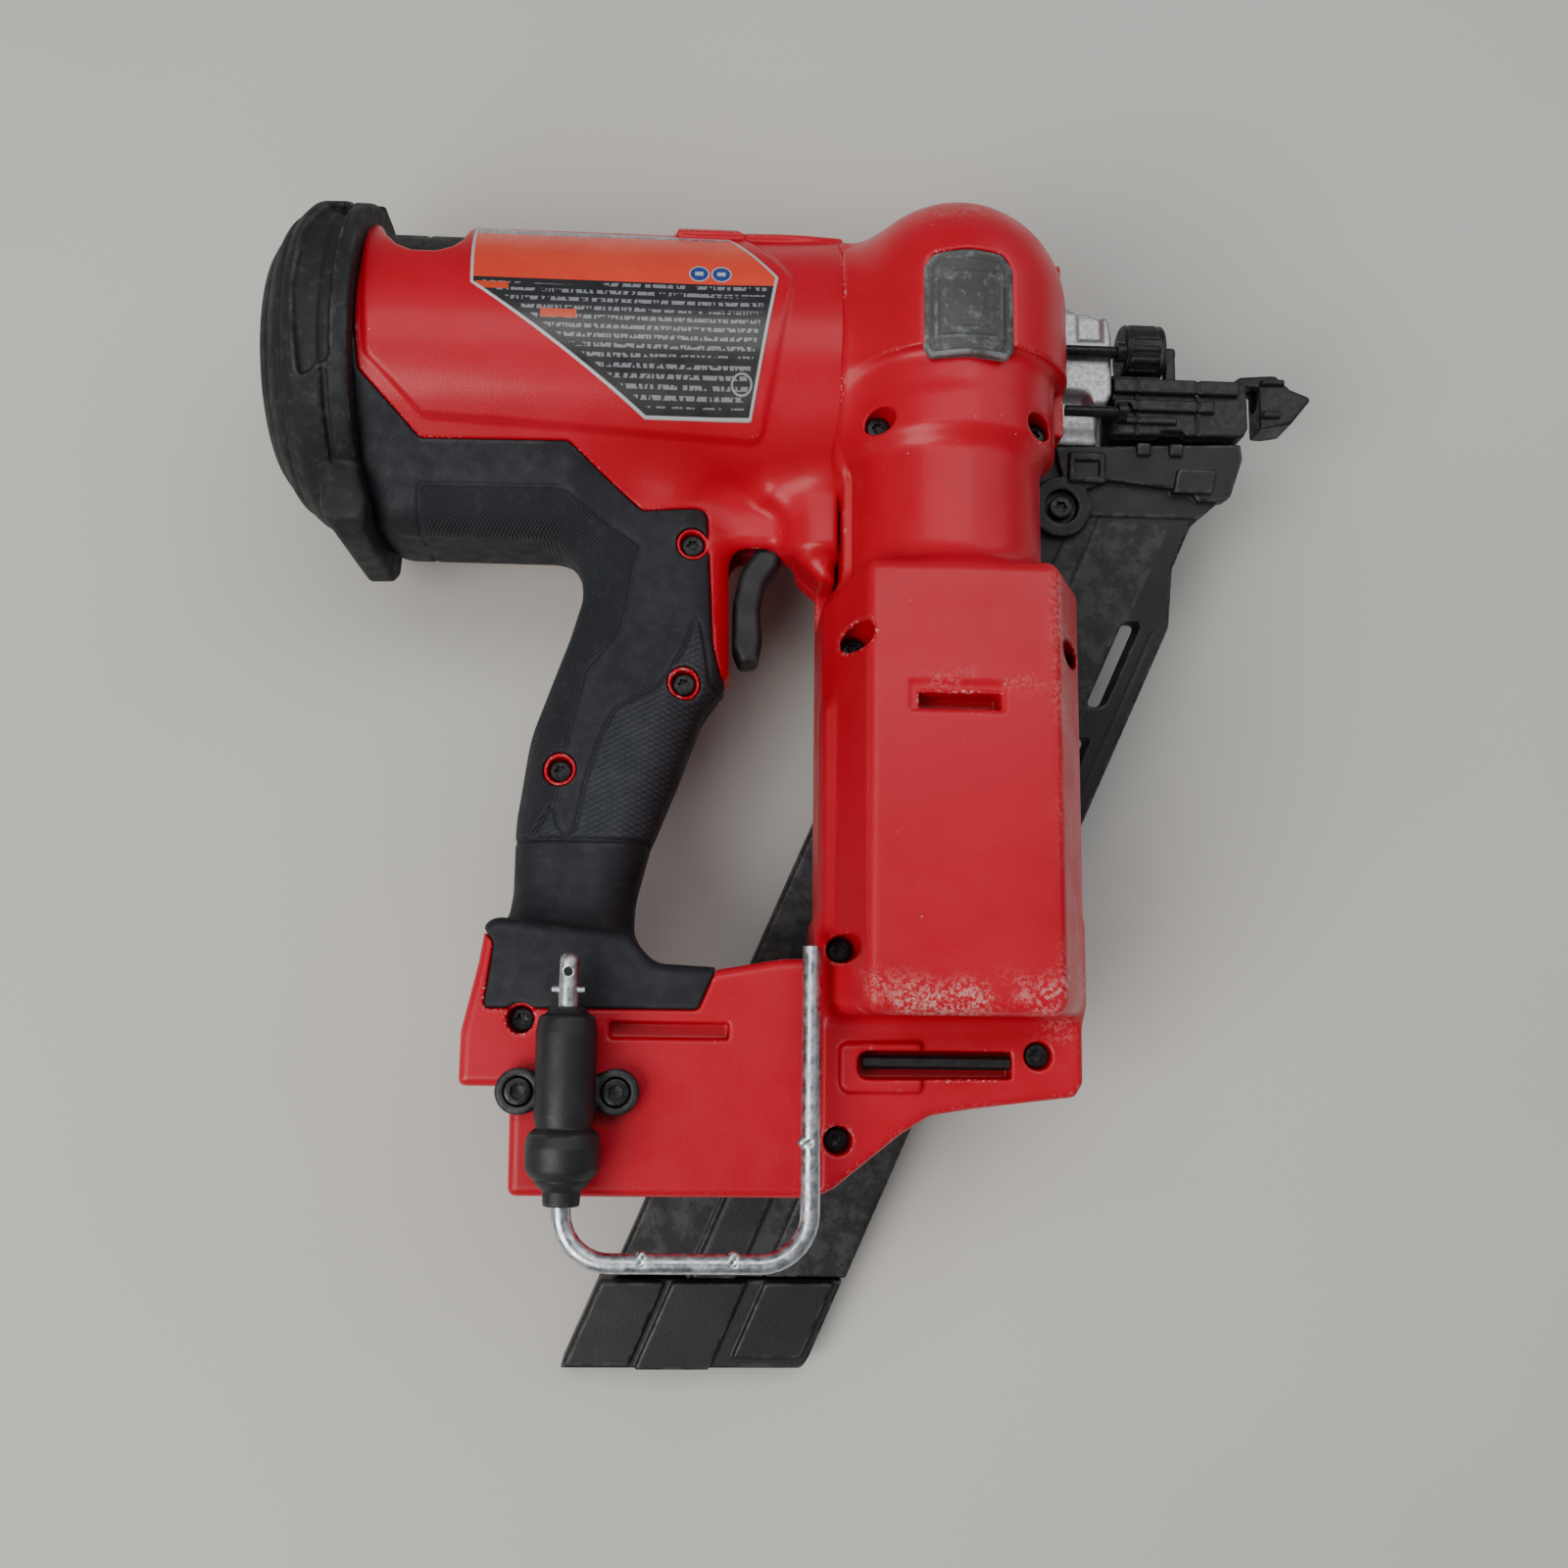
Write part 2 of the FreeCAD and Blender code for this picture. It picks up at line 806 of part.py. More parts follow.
node(
    "motor_cover",
    cut(
        "motor_cover_cut",
        fuse("cover_with_tray", cover, key_tray, cover_posts),
        key_slot,
        fixings["cover_screws"],
        wells["cover_screws"],
    ),
)
node(
    "side_bumper_left",
    box("bumper_left_pad", (-153 + gap, -124 - gap), (-19 + gap, 17 - gap), (pad_face - 6, pad_face)),
)
node(
    "motor_case",
    prism(
        "motor_case_plate",
        "XY",
        [
            (cover_back, -66),
            (cover_back, cover_foot_bottom),
            (-174, cover_foot_bottom),
            (-150, cover_bottom - 8),
            (cover_front, cover_bottom),
            (cover_front, -66),
        ],
        gap - wall,
        gap,
    ),
)

# ---------------------------------------------------------------- gas spring

tank = cut(
    "tank_shell",
    rod("tank_outside", "X", (cap_back + 12, 0, 0), bore_front - cap_back - 12, tank_radius),
    rod(
        "tank_inside",
        "X",
        (cap_back + 12 + tank_wall, 0, 0),
        bore_front - cap_back - 12 - 2 * tank_wall,
        tank_radius - tank_wall,
    ),
    rod(
        "tank_front_hole",
        "X",
        (bore_front - tank_wall - 1, 0, 0),
        tank_wall + 2,
        bore_radius + bore_wall,
    ),
    rod("tank_valve_hole", "X", (cap_back + 11, 0, 0), tank_wall + 2, 5),
)
node("gas_tank", tank)
node(
    "fill_valve",
    fuse(
        "valve",
        rod("valve_stem", "X", (cap_back + 9, 0, 0), 14, 5),
        rod("valve_flange", "X", (cap_back + 12 + tank_wall, 0, 0), 3, 8),
    ),
)
node(
    "cylinder",
    tube(
        "cylinder_tube",
        "X",
        (bore_back, 0, 0),
        bore_front - bore_back,
        bore_radius + bore_wall,
        bore_radius,
    ),
)
piston_face = bore_front - bumper_length - stroke - 4
piston = cut(
    "piston_body",
    rod("piston_solid", "X", (piston_face - piston_length, 0, 0), piston_length, bore_radius - gap),
    tube(
        "piston_groove",
        "X",
        (piston_face - piston_length / 2 - 2, 0, 0),
        4,
        bore_radius + 1,
        bore_radius - 3,
    ),
)
node("piston", piston)
node(
    "piston_seal",
    tube(
        "seal_ring",
        "X",
        (piston_face - piston_length / 2 - 2, 0, 0),
        4,
        bore_radius - fit_gap,
        bore_radius - 3,
    ),
)
node(
    "piston_bumper",
    tube(
        "bumper_ring", "X", (bore_front - bumper_length, 0, 0), bumper_length, bore_radius - fit_gap, 13
    ),
)

# ---------------------------------------------------------------- driver blade, its teeth and the
# lifter

tooth_pitch = pin_circle * (math.pi / 180) * pin_pitch_degrees
tooth_count = math.floor(stroke.value / tooth_pitch.value) + 1
teeth = []
for index in range(tooth_count):
    tooth_front = lift_x - pin_radius - gap - tooth_pitch * index
    tooth_low = (blade_half_height - 1, blade_half_height + tooth_height)
    teeth.append(
        box(
            f"blade_tooth_{index}",
            (tooth_front - tooth_width, tooth_front),
            (-blade_half_thick, blade_half_thick),
            tooth_low,
        )
    )
blade = fuse(
    "blade",
    box(
        "blade_bar",
        (piston_face, blade_tip),
        (-blade_half_thick, blade_half_thick),
        (-blade_half_height, blade_half_height),
    ),
    *teeth,
)
node("driver_blade", blade)

pin_spots = range(tooth_count)
flange_radius = pin_circle + pin_radius + 1
lifter = fuse(
    "lifter",
    rod("lifter_upper_plate", "Y", (lift_x, blade_half_thick + gap, lift_z), 3, flange_radius),
    rod("lifter_lower_plate", "Y", (lift_x, -blade_half_thick - gap - 3, lift_z), 3, flange_radius),
    rod(
        "lifter_hub",
        "Y",
        (lift_x, -blade_half_thick - gap - 3, lift_z),
        blade_half_thick * 2 + gap * 2 + 6,
        12,
    ),
    rod("lifter_shaft", "Y", (lift_x, gear_top + 4, lift_z), 20 - gear_top - 4, shaft_radius + 2),
)
pins = []
for index in pin_spots:
    turn = pin_pitch_degrees.value * index
    angle = math.radians(-90 - turn)
    spot = (
        lift_x + pin_circle * math.cos(angle),
        -blade_half_thick - gap - 2,
        lift_z + pin_circle * math.sin(angle),
    )
    pins.append(rod(f"lifter_pin_{index}", "Y", spot, blade_half_thick * 2 + gap * 2 + 4, pin_radius))
pin_group = fuse("lifter_pin_group", *pins)
node("lifter_wheel", cut("lifter_drilled", lifter, pin_group))
node("lifter_pins", pin_group)

# ---------------------------------------------------------------- planetary stage and motor


def gear_shape(teeth_number, root, tip, thickness, width, phase):
    """A spur gear about the Y axis. Its straight-sided teeth take the two shares of the pitch."""
    pitch_angle = 2 * math.pi / teeth_number
    half_root, half_tip = thickness[0] * pitch_angle / 2, thickness[1] * pitch_angle / 2
    points = []
    for tooth in range(teeth_number):
        middle = math.radians(phase) + pitch_angle * tooth
        for radius, angle in ((root, -half_root), (tip, -half_tip), (tip, half_tip), (root, half_root)):
            points.append(
                FreeCAD.Vector(radius * math.cos(middle + angle), 0, radius * math.sin(middle + angle))
            )
    return Part.Face(Part.makePolygon(points + points[:1])).extrude(FreeCAD.Vector(0, width, 0))


def upright(radius, low, high):
    """A cylinder about the Y axis."""
    return Part.makeCylinder(radius, high - low, FreeCAD.Vector(0, low, 0), FreeCAD.Vector(0, 1, 0))


sun_teeth, planet_teeth, ring_teeth = 12, 18, 48
outer_tooth, inner_space = (0.40, 0.18), (0.66, 0.54)  # shares of the pitch at root and tip
unit = gear_module.value
width = gear_width.value
gear_low = gear_top.value - width
axis_spot = FreeCAD.Vector(lift_x.value, 0, lift_z.value)
planet_circle = unit * (sun_teeth + planet_teeth) / 2
planet_bore = 2.0
motor_shaft = shaft_radius.value

sun_pitch, planet_pitch, ring_pitch = (
    unit * count / 2 for count in (sun_teeth, planet_teeth, ring_teeth)
)
sun_solid = gear_shape(sun_teeth, sun_pitch - unit, sun_pitch + 0.8 * unit, outer_tooth, width, 0)
sun = made("sun", sun_solid.cut(upright(motor_shaft - 1, -1, width + 1)))
sun.Placement.Base = axis_spot + FreeCAD.Vector(0, gear_low, 0)
node("sun_gear", sun)

for index in range(3):
    turn = 120 * index
    gear_solid = gear_shape(
        planet_teeth,
        planet_pitch - unit,
        planet_pitch + 0.8 * unit,
        outer_tooth,
        width - 1,
        turn + 180 / planet_teeth,
    )
    gear = made(f"planet_{index}", gear_solid.cut(upright(planet_bore + fit_gap.value, -1, width)))
    away = FreeCAD.Vector(math.cos(math.radians(turn)), 0, math.sin(math.radians(turn))) * planet_circle
    gear.Placement.Base = axis_spot + away + FreeCAD.Vector(0, gear_low + 0.5, 0)
    node(f"planet_gear_{index + 1}", gear)

ring_outside = ring_pitch + 3.5 * unit
ring_space = gear_shape(
    ring_teeth, ring_pitch - 0.8 * unit, ring_pitch + unit, inner_space, width + 2, 180 / ring_teeth
)
ring_space.translate(FreeCAD.Vector(0, -1, 0))
ring = made("ring", upright(ring_outside, 0, width).cut(ring_space))
ring.Placement.Base = axis_spot + FreeCAD.Vector(0, gear_low, 0)
node("ring_gear", ring)

carrier = fuse(
    "carrier",
    rod("carrier_plate", "Y", (lift_x, gear_top + gap, lift_z), 4 - gap, planet_circle + 4),
    *(
        rod(
            f"carrier_pin_{index}",
            "Y",
            (
                lift_x + planet_circle * math.cos(math.radians(120 * index)),
                gear_top - gear_width + 1,
                lift_z + planet_circle * math.sin(math.radians(120 * index)),
            ),
            gear_width,
            planet_bore,
        )
        for index in range(3)
    ),
)
node("planet_carrier", carrier)

gearbox = cut(
    "gearbox",
    rod(
        "gearbox_outside",
        "Y",
        (lift_x, gear_top - gear_width - 6, lift_z),
        gear_width + 34,
        ring_outside + 2,
    ),
    rod("gearbox_ring_seat", "Y", (lift_x, gear_top - gear_width, lift_z), gear_width, ring_outside),
    rod(
        "gearbox_space", "Y", (lift_x, gear_top - gear_width, lift_z), gear_width + 22, ring_outside - 3
    ),
    rod("gearbox_low_hole", "Y", (lift_x, gear_top - gear_width - 7, lift_z), 10, motor_shaft + 3),
    rod("gearbox_bearing_seat", "Y", (lift_x, gear_top + 20, lift_z), 10, 11),
)
node("gearbox_case", gearbox)
shaft_clear = shaft_radius + 2 + fit_gap
node(
    "lifter_bearing",
    tube("lifter_bearing_ring", "Y", (lift_x, gear_top + 22, lift_z), 6, 11, shaft_clear),
)

node(
    "motor_stator",
    tube(
        "stator",
        "Y",
        (lift_x, motor_bottom, lift_z),
        motor_top - motor_bottom,
        stator_radius,
        rotor_radius + 0.6,
    ),
)
rotor = fuse(
    "rotor",
    rod(
        "rotor_core",
        "Y",
        (lift_x, motor_bottom + 4, lift_z),
        motor_top - motor_bottom - 8,
        rotor_radius,
    ),
    rod(
        "rotor_shaft",
        "Y",
        (lift_x, motor_bottom - 14, lift_z),
        gear_top - motor_bottom + 12,
        shaft_radius - 1,
    ),
)
node("motor_rotor", rotor)
bearing_spots = (motor_top + 6, motor_bottom - 9)
bearings = [
    tube(f"motor_bearing_{index}", "Y", (lift_x, spot, lift_z), 5, 9, shaft_radius - 1 + fit_gap)
    for index, spot in enumerate(bearing_spots)
]
node("motor_bearings", fuse("motor_bearing_pair", *bearings))
bell_spots = (motor_top + 1, motor_bottom - 11)
bells = [
    cut(
        f"motor_bell_{index}",
        rod(f"motor_bell_disc_{index}", "Y", (lift_x, spot, lift_z), 10, stator_radius),
        rod(f"motor_bell_seat_{index}", "Y", (lift_x, spot - 1, lift_z), 12, 9),
    )
    for index, spot in enumerate(bell_spots)
]
node("motor_end_bells", fuse("motor_bell_pair", *bells))
fan_low = motor_bottom - 24
fan = fuse(
    "fan",
    tube("fan_hub", "Y", (lift_x, fan_low, lift_z), 9, 8, shaft_radius - 1),
    tube("fan_disc", "Y", (lift_x, fan_low, lift_z), 1.5, 24, 5),
    box(
        "fan_vanes_across",
        (lift_x - 23, lift_x + 23),
        (fan_low + 1, fan_low + 8),
        (lift_z + 4, lift_z + 5.4),
    ),
    box(
        "fan_vanes_along",
        (lift_x + 4, lift_x + 5.4),
        (fan_low + 1, fan_low + 8),
        (lift_z - 23, lift_z + 23),
    ),
)
node("motor_fan", fan)

# ---------------------------------------------------------------- drive frame and nose

frame = cut(
    "drive_frame_body",
    fuse(
        "drive_frame_solid",
        box("drive_frame_bar", (bore_front, nose_back), (-18, 12), (-20, 3.5)),
        rod("drive_frame_flange", "X", (bore_front, 0, 0), 4, tank_radius),
    ),
    box(
        "drive_frame_channel",
        (bore_front - 1, nose_back + 1),
        (-blade_half_thick - 0.5, blade_half_thick + 0.5),
        (-blade_half_height - 0.5, 14),
    ),
    box(
        "drive_frame_nail_slot",
        (-126, nose_back + 1),
        (-19, 0),
        (-nail_radius - 0.2, nail_radius + 0.2),
    ),
    box(
        "drive_frame_near_slot",
        (-126, nose_back + 1),
        (-blade_half_thick - 0.5, blade_half_thick + 0.5),
        (-4.2, 4),
    ),
)
node("drive_frame", frame)

nose_channel = fuse(
    "nose_channel",
    rod("nose_channel_round", "X", (nose_back - 1, 0, 0), guide_front - nose_back + 2, nail_radius),
    box(
        "nose_channel_slot",
        (nose_back - 1, guide_front + 1),
        (magazine_top - 2, 0),
        (-nail_radius, nail_radius),
    ),
    box(
        "nose_channel_teeth",
        (nose_back - 1, guide_front + 1),
        (-blade_half_thick - 0.5, blade_half_thick + 0.5),
        (-nail_radius, blade_half_height + tooth_height + 0.5),
    ),
)
nose = cut(
    "nose_block_body",
    prism(
        "nose_block_solid",
        "YZ",
        [(-22, -14), (-16, -20), (28, -20), (34, -14), (34, 14), (28, 20), (-16, 20), (-22, 14)],
        nose_back,
        nose_front,
    ),
    nose_channel,
    rod(
        "nose_block_rod_bore",
        "X",
        (nose_back - 1, wheel_y, 0),
        nose_front - nose_back + 2,
        rod_radius + fit_gap,
    ),
)
nose_screw_spots = [(side_y, side_z) for side_y in (-13, 10) for side_z in (-16.4, 16.4)]
nose_screws = fuse(
    "nose_screw_group",
    *(
        screw(f"nose_screw_{index}", "X", -1, [nose_front + screw_head_height, side_y, side_z], 22)
        for index, (side_y, side_z) in enumerate(nose_screw_spots)
    ),
)
node("nose_screws", nose_screws)
node("nose_block", cut("nose_block_drilled", nose, nose_screws))

nose_low = -24
guide = cut(
    "nosepiece_body",
    fuse(
        "nosepiece_solid",
        box("nosepiece_bar", (nose_front, guide_front), (nose_low + 8, nail_radius + 1.6), (-9, 12.5)),
        box(
            "nosepiece_foot",
            (nose_front + 4, guide_front - 6),
            (nose_low + 1, nose_low + 8),
            (-7.5, 10),
        ),
    ),
    nose_channel,
)
node("nosepiece", guide)

contact_top = nail_radius + 1.9
contact = cut(
    "contact_body",
    fuse(
        "contact_solid",
        box("contact_tip", (-14, 0), (-nail_radius - contact_wall, contact_top + contact_wall), (-8, 8)),
        box("contact_arm", (-52, -10), (contact_top, contact_top + contact_wall), (-6, 6)),
        prism(
            "contact_riser",
            "XY",
            [
                (-53, contact_top),
                (-53, wheel_y + 3.5),
                (-49, wheel_y + 3.5),
                (-36, contact_top + 2),
                (-36, contact_top),
            ],
            -2.5,
            2.5,
        ),
        rod("contact_rod", "X", (-124, wheel_y, 0), 73, rod_radius),
        rod("contact_collar", "X", (-124, wheel_y, 0), 3, rod_radius + 2.5),
    ),
    rod("contact_bore", "X", (-15, 0, 0), 16, nail_radius + 0.2),
)
node("workpiece_contact", contact)
node("contact_spring", tube("contact_spring_coil", "X", (-150, wheel_y, 0), 20, 4.5, 3.0))

knob = cut(
    "depth_wheel_body",
    rod("depth_wheel_round", "X", (wheel_back, wheel_y, 0), wheel_length, wheel_radius),
    rod("depth_wheel_bore", "X", (wheel_back - 1, wheel_y, 0), wheel_length + 2, rod_radius + fit_gap),
    *(
        rod(
            f"depth_wheel_flute_{index}",
            "X",
            (
                wheel_back + 3,
                wheel_y + (wheel_radius + 0.6) * math.cos(math.radians(30 * index)),
                (wheel_radius + 0.6) * math.sin(math.radians(30 * index)),
            ),
            wheel_length - 6,
            1.6,
        )
        for index in range(12)
    ),
)
node("depth_wheel", knob)

# ---------------------------------------------------------------- trigger

trigger_solid = prism(
    "trigger_form",
    "XY",
    [
        (-200, -54.5),
        (-197, -66),
        (-198, -78),
        (-202, -90),
        (-202.5, -100),
        (-200.5, -105),
        (-206, -107),
        (-212.5, -101),
        (-213, -72),
        (-209, -55),
    ],
    -trigger_half,
    trigger_half,
)
trigger_bore = rod("trigger_bore", "Z", (trigger_pin_x, trigger_pin_y, -20), 40, 1.5 + fit_gap)
node("trigger", cut("trigger_body", trigger_solid, trigger_bore))
node(
    "trigger_pin",
    rod(
        "trigger_pivot", "Z", (trigger_pin_x, trigger_pin_y, -bridge_half + 2), bridge_half * 2 - 4, 1.5
    ),
)
node("trigger_spring", tube("trigger_coil", "X", (-228, -84, 0), 6, 3, 2))
node("trigger_switch", box("switch_body", (-241, -229), (-106, -76), (-9, 9)))

# ---------------------------------------------------------------- battery foot fittings

rails = fuse(
    "rail_block",
    box(
        "rail_plate",
        (foot_step_back + 4, cover_back - gap - wall),
        (foot_step - 3, foot_step),
        (-foot_right + wall, foot_left - wall),
    ),
    *(
        box(
            f"rail_{index}",
            (foot_step_back + 6, cover_back - gap - wall),
            (foot_step - rail_height - 3, foot_step - 3),
            spot,
        )
        for index, spot in enumerate([(-16, -11), (29, 34)])
    ),
    box("rail_terminals", (-235, -200), (foot_step - rail_height - 1, foot_step - 3), (0, 18)),
)
node("battery_rails", rails)
node("control_board", box("control_board_plate", (-288, -192), (-248, -241), (-12, 30)))

# ---------------------------------------------------------------- magazine, in its own plane


def slanted(station, height):
    """A point at a slanted station of the magazine, at a height below the drive axis."""
    return (sized(station) + magazine_slope * height, height)


window_height = 31
body_points = [
    slanted(magazine_front, magazine_top),
    slanted(magazine_front, -66),
    slanted(magazine_flange, -86),
    slanted(magazine_flange, -215),
    slanted(magazine_lower_front, -240),
    slanted(magazine_lower_front, magazine_bottom),
    slanted(magazine_rear, magazine_bottom),
    slanted(magazine_rear, -50),
    slanted(magazine_rear, magazine_top),
]


def strip(name, station_low, station_high, low, high, depth_low, depth_high):
    """A slanted bar between two stations and two heights."""
    corners = [
        slanted(station_low, low),
        slanted(station_high, low),
        slanted(station_high, high),
        slanted(station_low, high),
    ]
    return prism(name, "XY", corners, depth_low, depth_high)


channel_half = nail_radius + 0.2
boss_x, boss_y = -93.3, -43.4
boss_top = magazine_half + 3.5
magazine = cut(
    "magazine_solid_cut",
    fuse(
        "magazine_solid",
        prism("magazine_plate", "XY", body_points, -magazine_half, magazine_half),
        rod("magazine_boss", "Z", (boss_x, boss_y, magazine_half - 1), boss_top - magazine_half + 1, 11),
    ),
    strip(
        "magazine_channel",
        magazine_rear + magazine_wall,
        -26,
        -232,
        magazine_top + 1,
        -channel_half,
        channel_half,
    ),
    strip(
        "magazine_channel_low",
        magazine_rear + magazine_wall,
        magazine_lower_front - magazine_wall,
        magazine_bottom - 1,
        -230,
        -channel_half,
        channel_half,
    ),
    *(
        strip(
            f"magazine_window_{index}",
            -32.5,
            -26.5,
            -85 - 43 * index - window_height,
            -85 - 43 * index,
            -20,
            20,
        )
        for index in range(3)
    ),
    strip("magazine_tab_slot", -82, -68, -312, -48, -magazine_half - 1, 0),
    rod("magazine_screw_hole", "Z", (boss_x, boss_y, 0), boss_top + 1, screw_radius + 0.5),
    rod("magazine_counterbore", "Z", (boss_x, boss_y, boss_top - 4), 5, 6.4),
)
node("magazine_body", magazine)
node(
    "magazine_screw",
    screw("magazine_fixing", "Z", -1, [boss_x, boss_y, boss_top - 0.5], boss_top - 0.5 - channel_half),
)
end_cap = cut(
    "end_cap_body",
    fuse(
        "end_cap_solid",
        strip(
            "end_cap_plate",
            -117,
            magazine_lower_front,
            magazine_end,
            magazine_bottom,
            -magazine_half,
            magazine_half,
        ),
        strip(
            "end_cap_left",
            -116,
            -93,
            magazine_end + 1,
            magazine_bottom + 1,
            magazine_half,
            magazine_half + 2,
        ),
        strip(
            "end_cap_middle",
            -91,
            -64,
            magazine_end + 1,
            magazine_bottom + 1,
            magazine_half,
            magazine_half + 2,
        ),
        strip(
            "end_cap_right",
            -58,
            -33,
            magazine_end + 5,
            magazine_bottom + 1,
            magazine_half,
            magazine_half + 2,
        ),
    ),
    strip(
        "end_cap_mouth",
        magazine_rear + magazine_wall,
        -34,
        magazine_end - 1,
        magazine_bottom + 1,
        -channel_half,
        channel_half,
    ),
    prism("end_cap_body_room", "XY", body_points, -magazine_half, magazine_half),
)
node("magazine_end_cap", end_cap)

follower_top, follower_bottom = -52, -70
follower = fuse(
    "follower_solid",
    strip(
        "follower_block",
        -110,
        -35,
        follower_bottom,
        follower_top,
        -channel_half + gap,
        channel_half - gap,
    ),
    strip("follower_tab", -80, -70, follower_bottom, follower_top - 4, -magazine_half - 4, 0),
    strip(
        "follower_tongue",
        -78,
        -58,
        follower_bottom - 18,
        follower_bottom + 1,
        -channel_half + gap,
        1.2 - channel_half,
    ),
)
node("magazine_follower", follower)
spring_x, spring_y = slanted(-68, follower_bottom - 9)
node(
    "follower_spring",
    tube("follower_coil", "Z", (spring_x, spring_y, 1.2 - channel_half), channel_half * 2 - 1.5, 8, 4),
)

# ---------------------------------------------------------------- hook and its mount

mount_low, mount_high = foot_bottom + 1, -228.0
waist_y = -260.0
ear_radius = 6.8
hook_mount_solid = fuse(
    "hook_mount_solid",
    rod(
        "hook_mount_upper",
        "Y",
        (hook_x, waist_y, hook_z),
        mount_high - waist_y,
        hook_barrel_radius - 0.8,
    ),
    rod("hook_mount_lower", "Y", (hook_x, waist_y - 17, hook_z), 17, hook_barrel_radius + 1.6),
    rod("hook_mount_collar", "Y", (hook_x, mount_low, hook_z), waist_y - 17 - mount_low, 5.5),
    box(
        "hook_mount_web", (hook_x - 8, hook_x + 8), (mount_low + 8, mount_high - 2), (foot_left, hook_z)
    ),
    box(
        "hook_mount_bridge",
        (hook_x - ear_reach, hook_x + ear_reach),
        (ear_y - 6, ear_y + 6),
        (foot_left, foot_left + 7),
    ),
    *(
        rod(
            f"hook_mount_ear_{index}", "Z", (hook_x + ear_reach * sign, ear_y, foot_left), 7, ear_radius
        )
        for index, sign in enumerate((-1, 1))
    ),
)
hook_screws = fuse(
    "hook_screw_group",
    *(
        screw(f"hook_screw_{index}", "Z", -1, [hook_x + ear_reach * sign, ear_y, foot_left + 8.5], 11.4)
        for index, sign in enumerate((-1, 1))
    ),
)
node("hook_screws", hook_screws)
hook_bore = rod(
    "hook_mount_bore",
    "Y",
    (hook_x, mount_low - 1, hook_z),
    mount_high - mount_low + 2,
    hook_wire_radius + fit_gap,
)
hook_sockets = [
    rod(
        f"hook_mount_socket_{index}",
        "Z",
        (hook_x + ear_reach * sign, ear_y, foot_left + 6),
        3,
        screw_radius,
    )
    for index, sign in enumerate((-1, 1))
]
node("hook_mount", cut("hook_mount_body", hook_mount_solid, hook_bore, hook_screws, *hook_sockets))

corner_turn = math.sin(math.pi / 4)
left_x, right_x = hook_x.value, hook_x.value + hook_reach.value
bend, low_y = hook_bend.value, hook_bottom.value


def hook_point(across, up):
    """A point in the plane of the bent wire."""
    return FreeCAD.Vector(across, up, hook_z.value)


short_bend = bend * (1 - corner_turn)
first, second = hook_point(left_x, hook_top.value), hook_point(left_x, low_y + bend)
third, fourth = hook_point(left_x + bend, low_y), hook_point(right_x - bend, low_y)
fifth, sixth = hook_point(right_x, low_y + bend), hook_point(right_x, hook_tip.value)
hook_path = Part.Wire(
    [
        Part.makeLine(first, second),
        Part.Arc(second, hook_point(left_x + short_bend, low_y + short_bend), third).toShape(),
        Part.makeLine(third, fourth),
        Part.Arc(fourth, hook_point(right_x - short_bend, low_y + short_bend), fifth).toShape(),
        Part.makeLine(fifth, sixth),
    ]
)
hook_section = Part.Wire([Part.makeCircle(hook_wire_radius.value, first, FreeCAD.Vector(0, 1, 0))])
hook_wire = made("hook_wire", hook_path.makePipeShell([hook_section], True, False))
hook_pin = rod("hook_cross_pin", "X", (hook_x - 5, mount_high + 5, hook_z), 10, 1.2)
node("hook", cut("hook_drilled", hook_wire, hook_pin))
node("hook_pin", hook_pin)

# ---------------------------------------------------------------- fasteners and the stowed key

key_length = 47
key = prism(
    "key_hexagon",
    "YZ",
    [
        (
            -244 + 2.3 * math.cos(math.radians(60 * corner)),
            foot_left - 3 + 2.3 * math.sin(math.radians(60 * corner)),
        )
        for corner in range(6)
    ],
    -169,
    -169 + key_length,
)
node("hex_key", key)

# ---------------------------------------------------------------- placement, checks and files

canted = ["magazine_body", "magazine_screw", "magazine_end_cap", "magazine_follower", "follower_spring"]
cant_turn = FreeCAD.Placement(
    FreeCAD.Vector(), FreeCAD.Rotation(FreeCAD.Vector(1, 0, 0), magazine_cant.value)
)

doc.recompute()
for label in canted:
    nodes[label].Placement = cant_turn.multiply(nodes[label].Placement)
doc.recompute()
for thing in doc.Objects:
    if "Invalid" in thing.State or "Error" in thing.State:
        raise RuntimeError(f"{thing.Name} failed: {thing.State}")
whole = FreeCAD.BoundBox()
for thing in nodes.values():
    whole.add(thing.Shape.BoundBox)
shift = FreeCAD.Placement(
    FreeCAD.Vector(-whole.Center.x, -whole.Center.y, -whole.ZMin), FreeCAD.Rotation()
)
for thing in nodes.values():
    thing.Placement = shift.multiply(thing.Placement)
doc.recompute()

os.makedirs("parts", exist_ok=True)
for label, thing in nodes.items():
    if thing.Shape.isNull() or not thing.Shape.isValid() or not thing.Shape.Solids:
        raise RuntimeError(f"{label} has no valid solid")
    thing.Shape.exportStep(f"parts/{label}.step")
print(f"{len(nodes)} sub-parts, moved by {shift.Base}")
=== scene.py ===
import json
import math

import bpy
import numpy as np
from mathutils import Matrix, Vector


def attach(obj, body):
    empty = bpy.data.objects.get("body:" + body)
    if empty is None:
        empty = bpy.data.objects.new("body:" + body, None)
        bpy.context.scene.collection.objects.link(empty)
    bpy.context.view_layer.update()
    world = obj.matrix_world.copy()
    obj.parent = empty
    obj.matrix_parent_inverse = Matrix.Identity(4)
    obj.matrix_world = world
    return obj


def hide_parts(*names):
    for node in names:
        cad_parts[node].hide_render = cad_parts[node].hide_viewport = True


# A cordless framing nailer lying on its right side. The moulded pieces are drawn as distance
# fields in tool millimetres: the origin is the muzzle tip, X is the firing direction, Y runs from
# the handle up to the barrel and Z out of the tool's left side. Each field is then skinned.

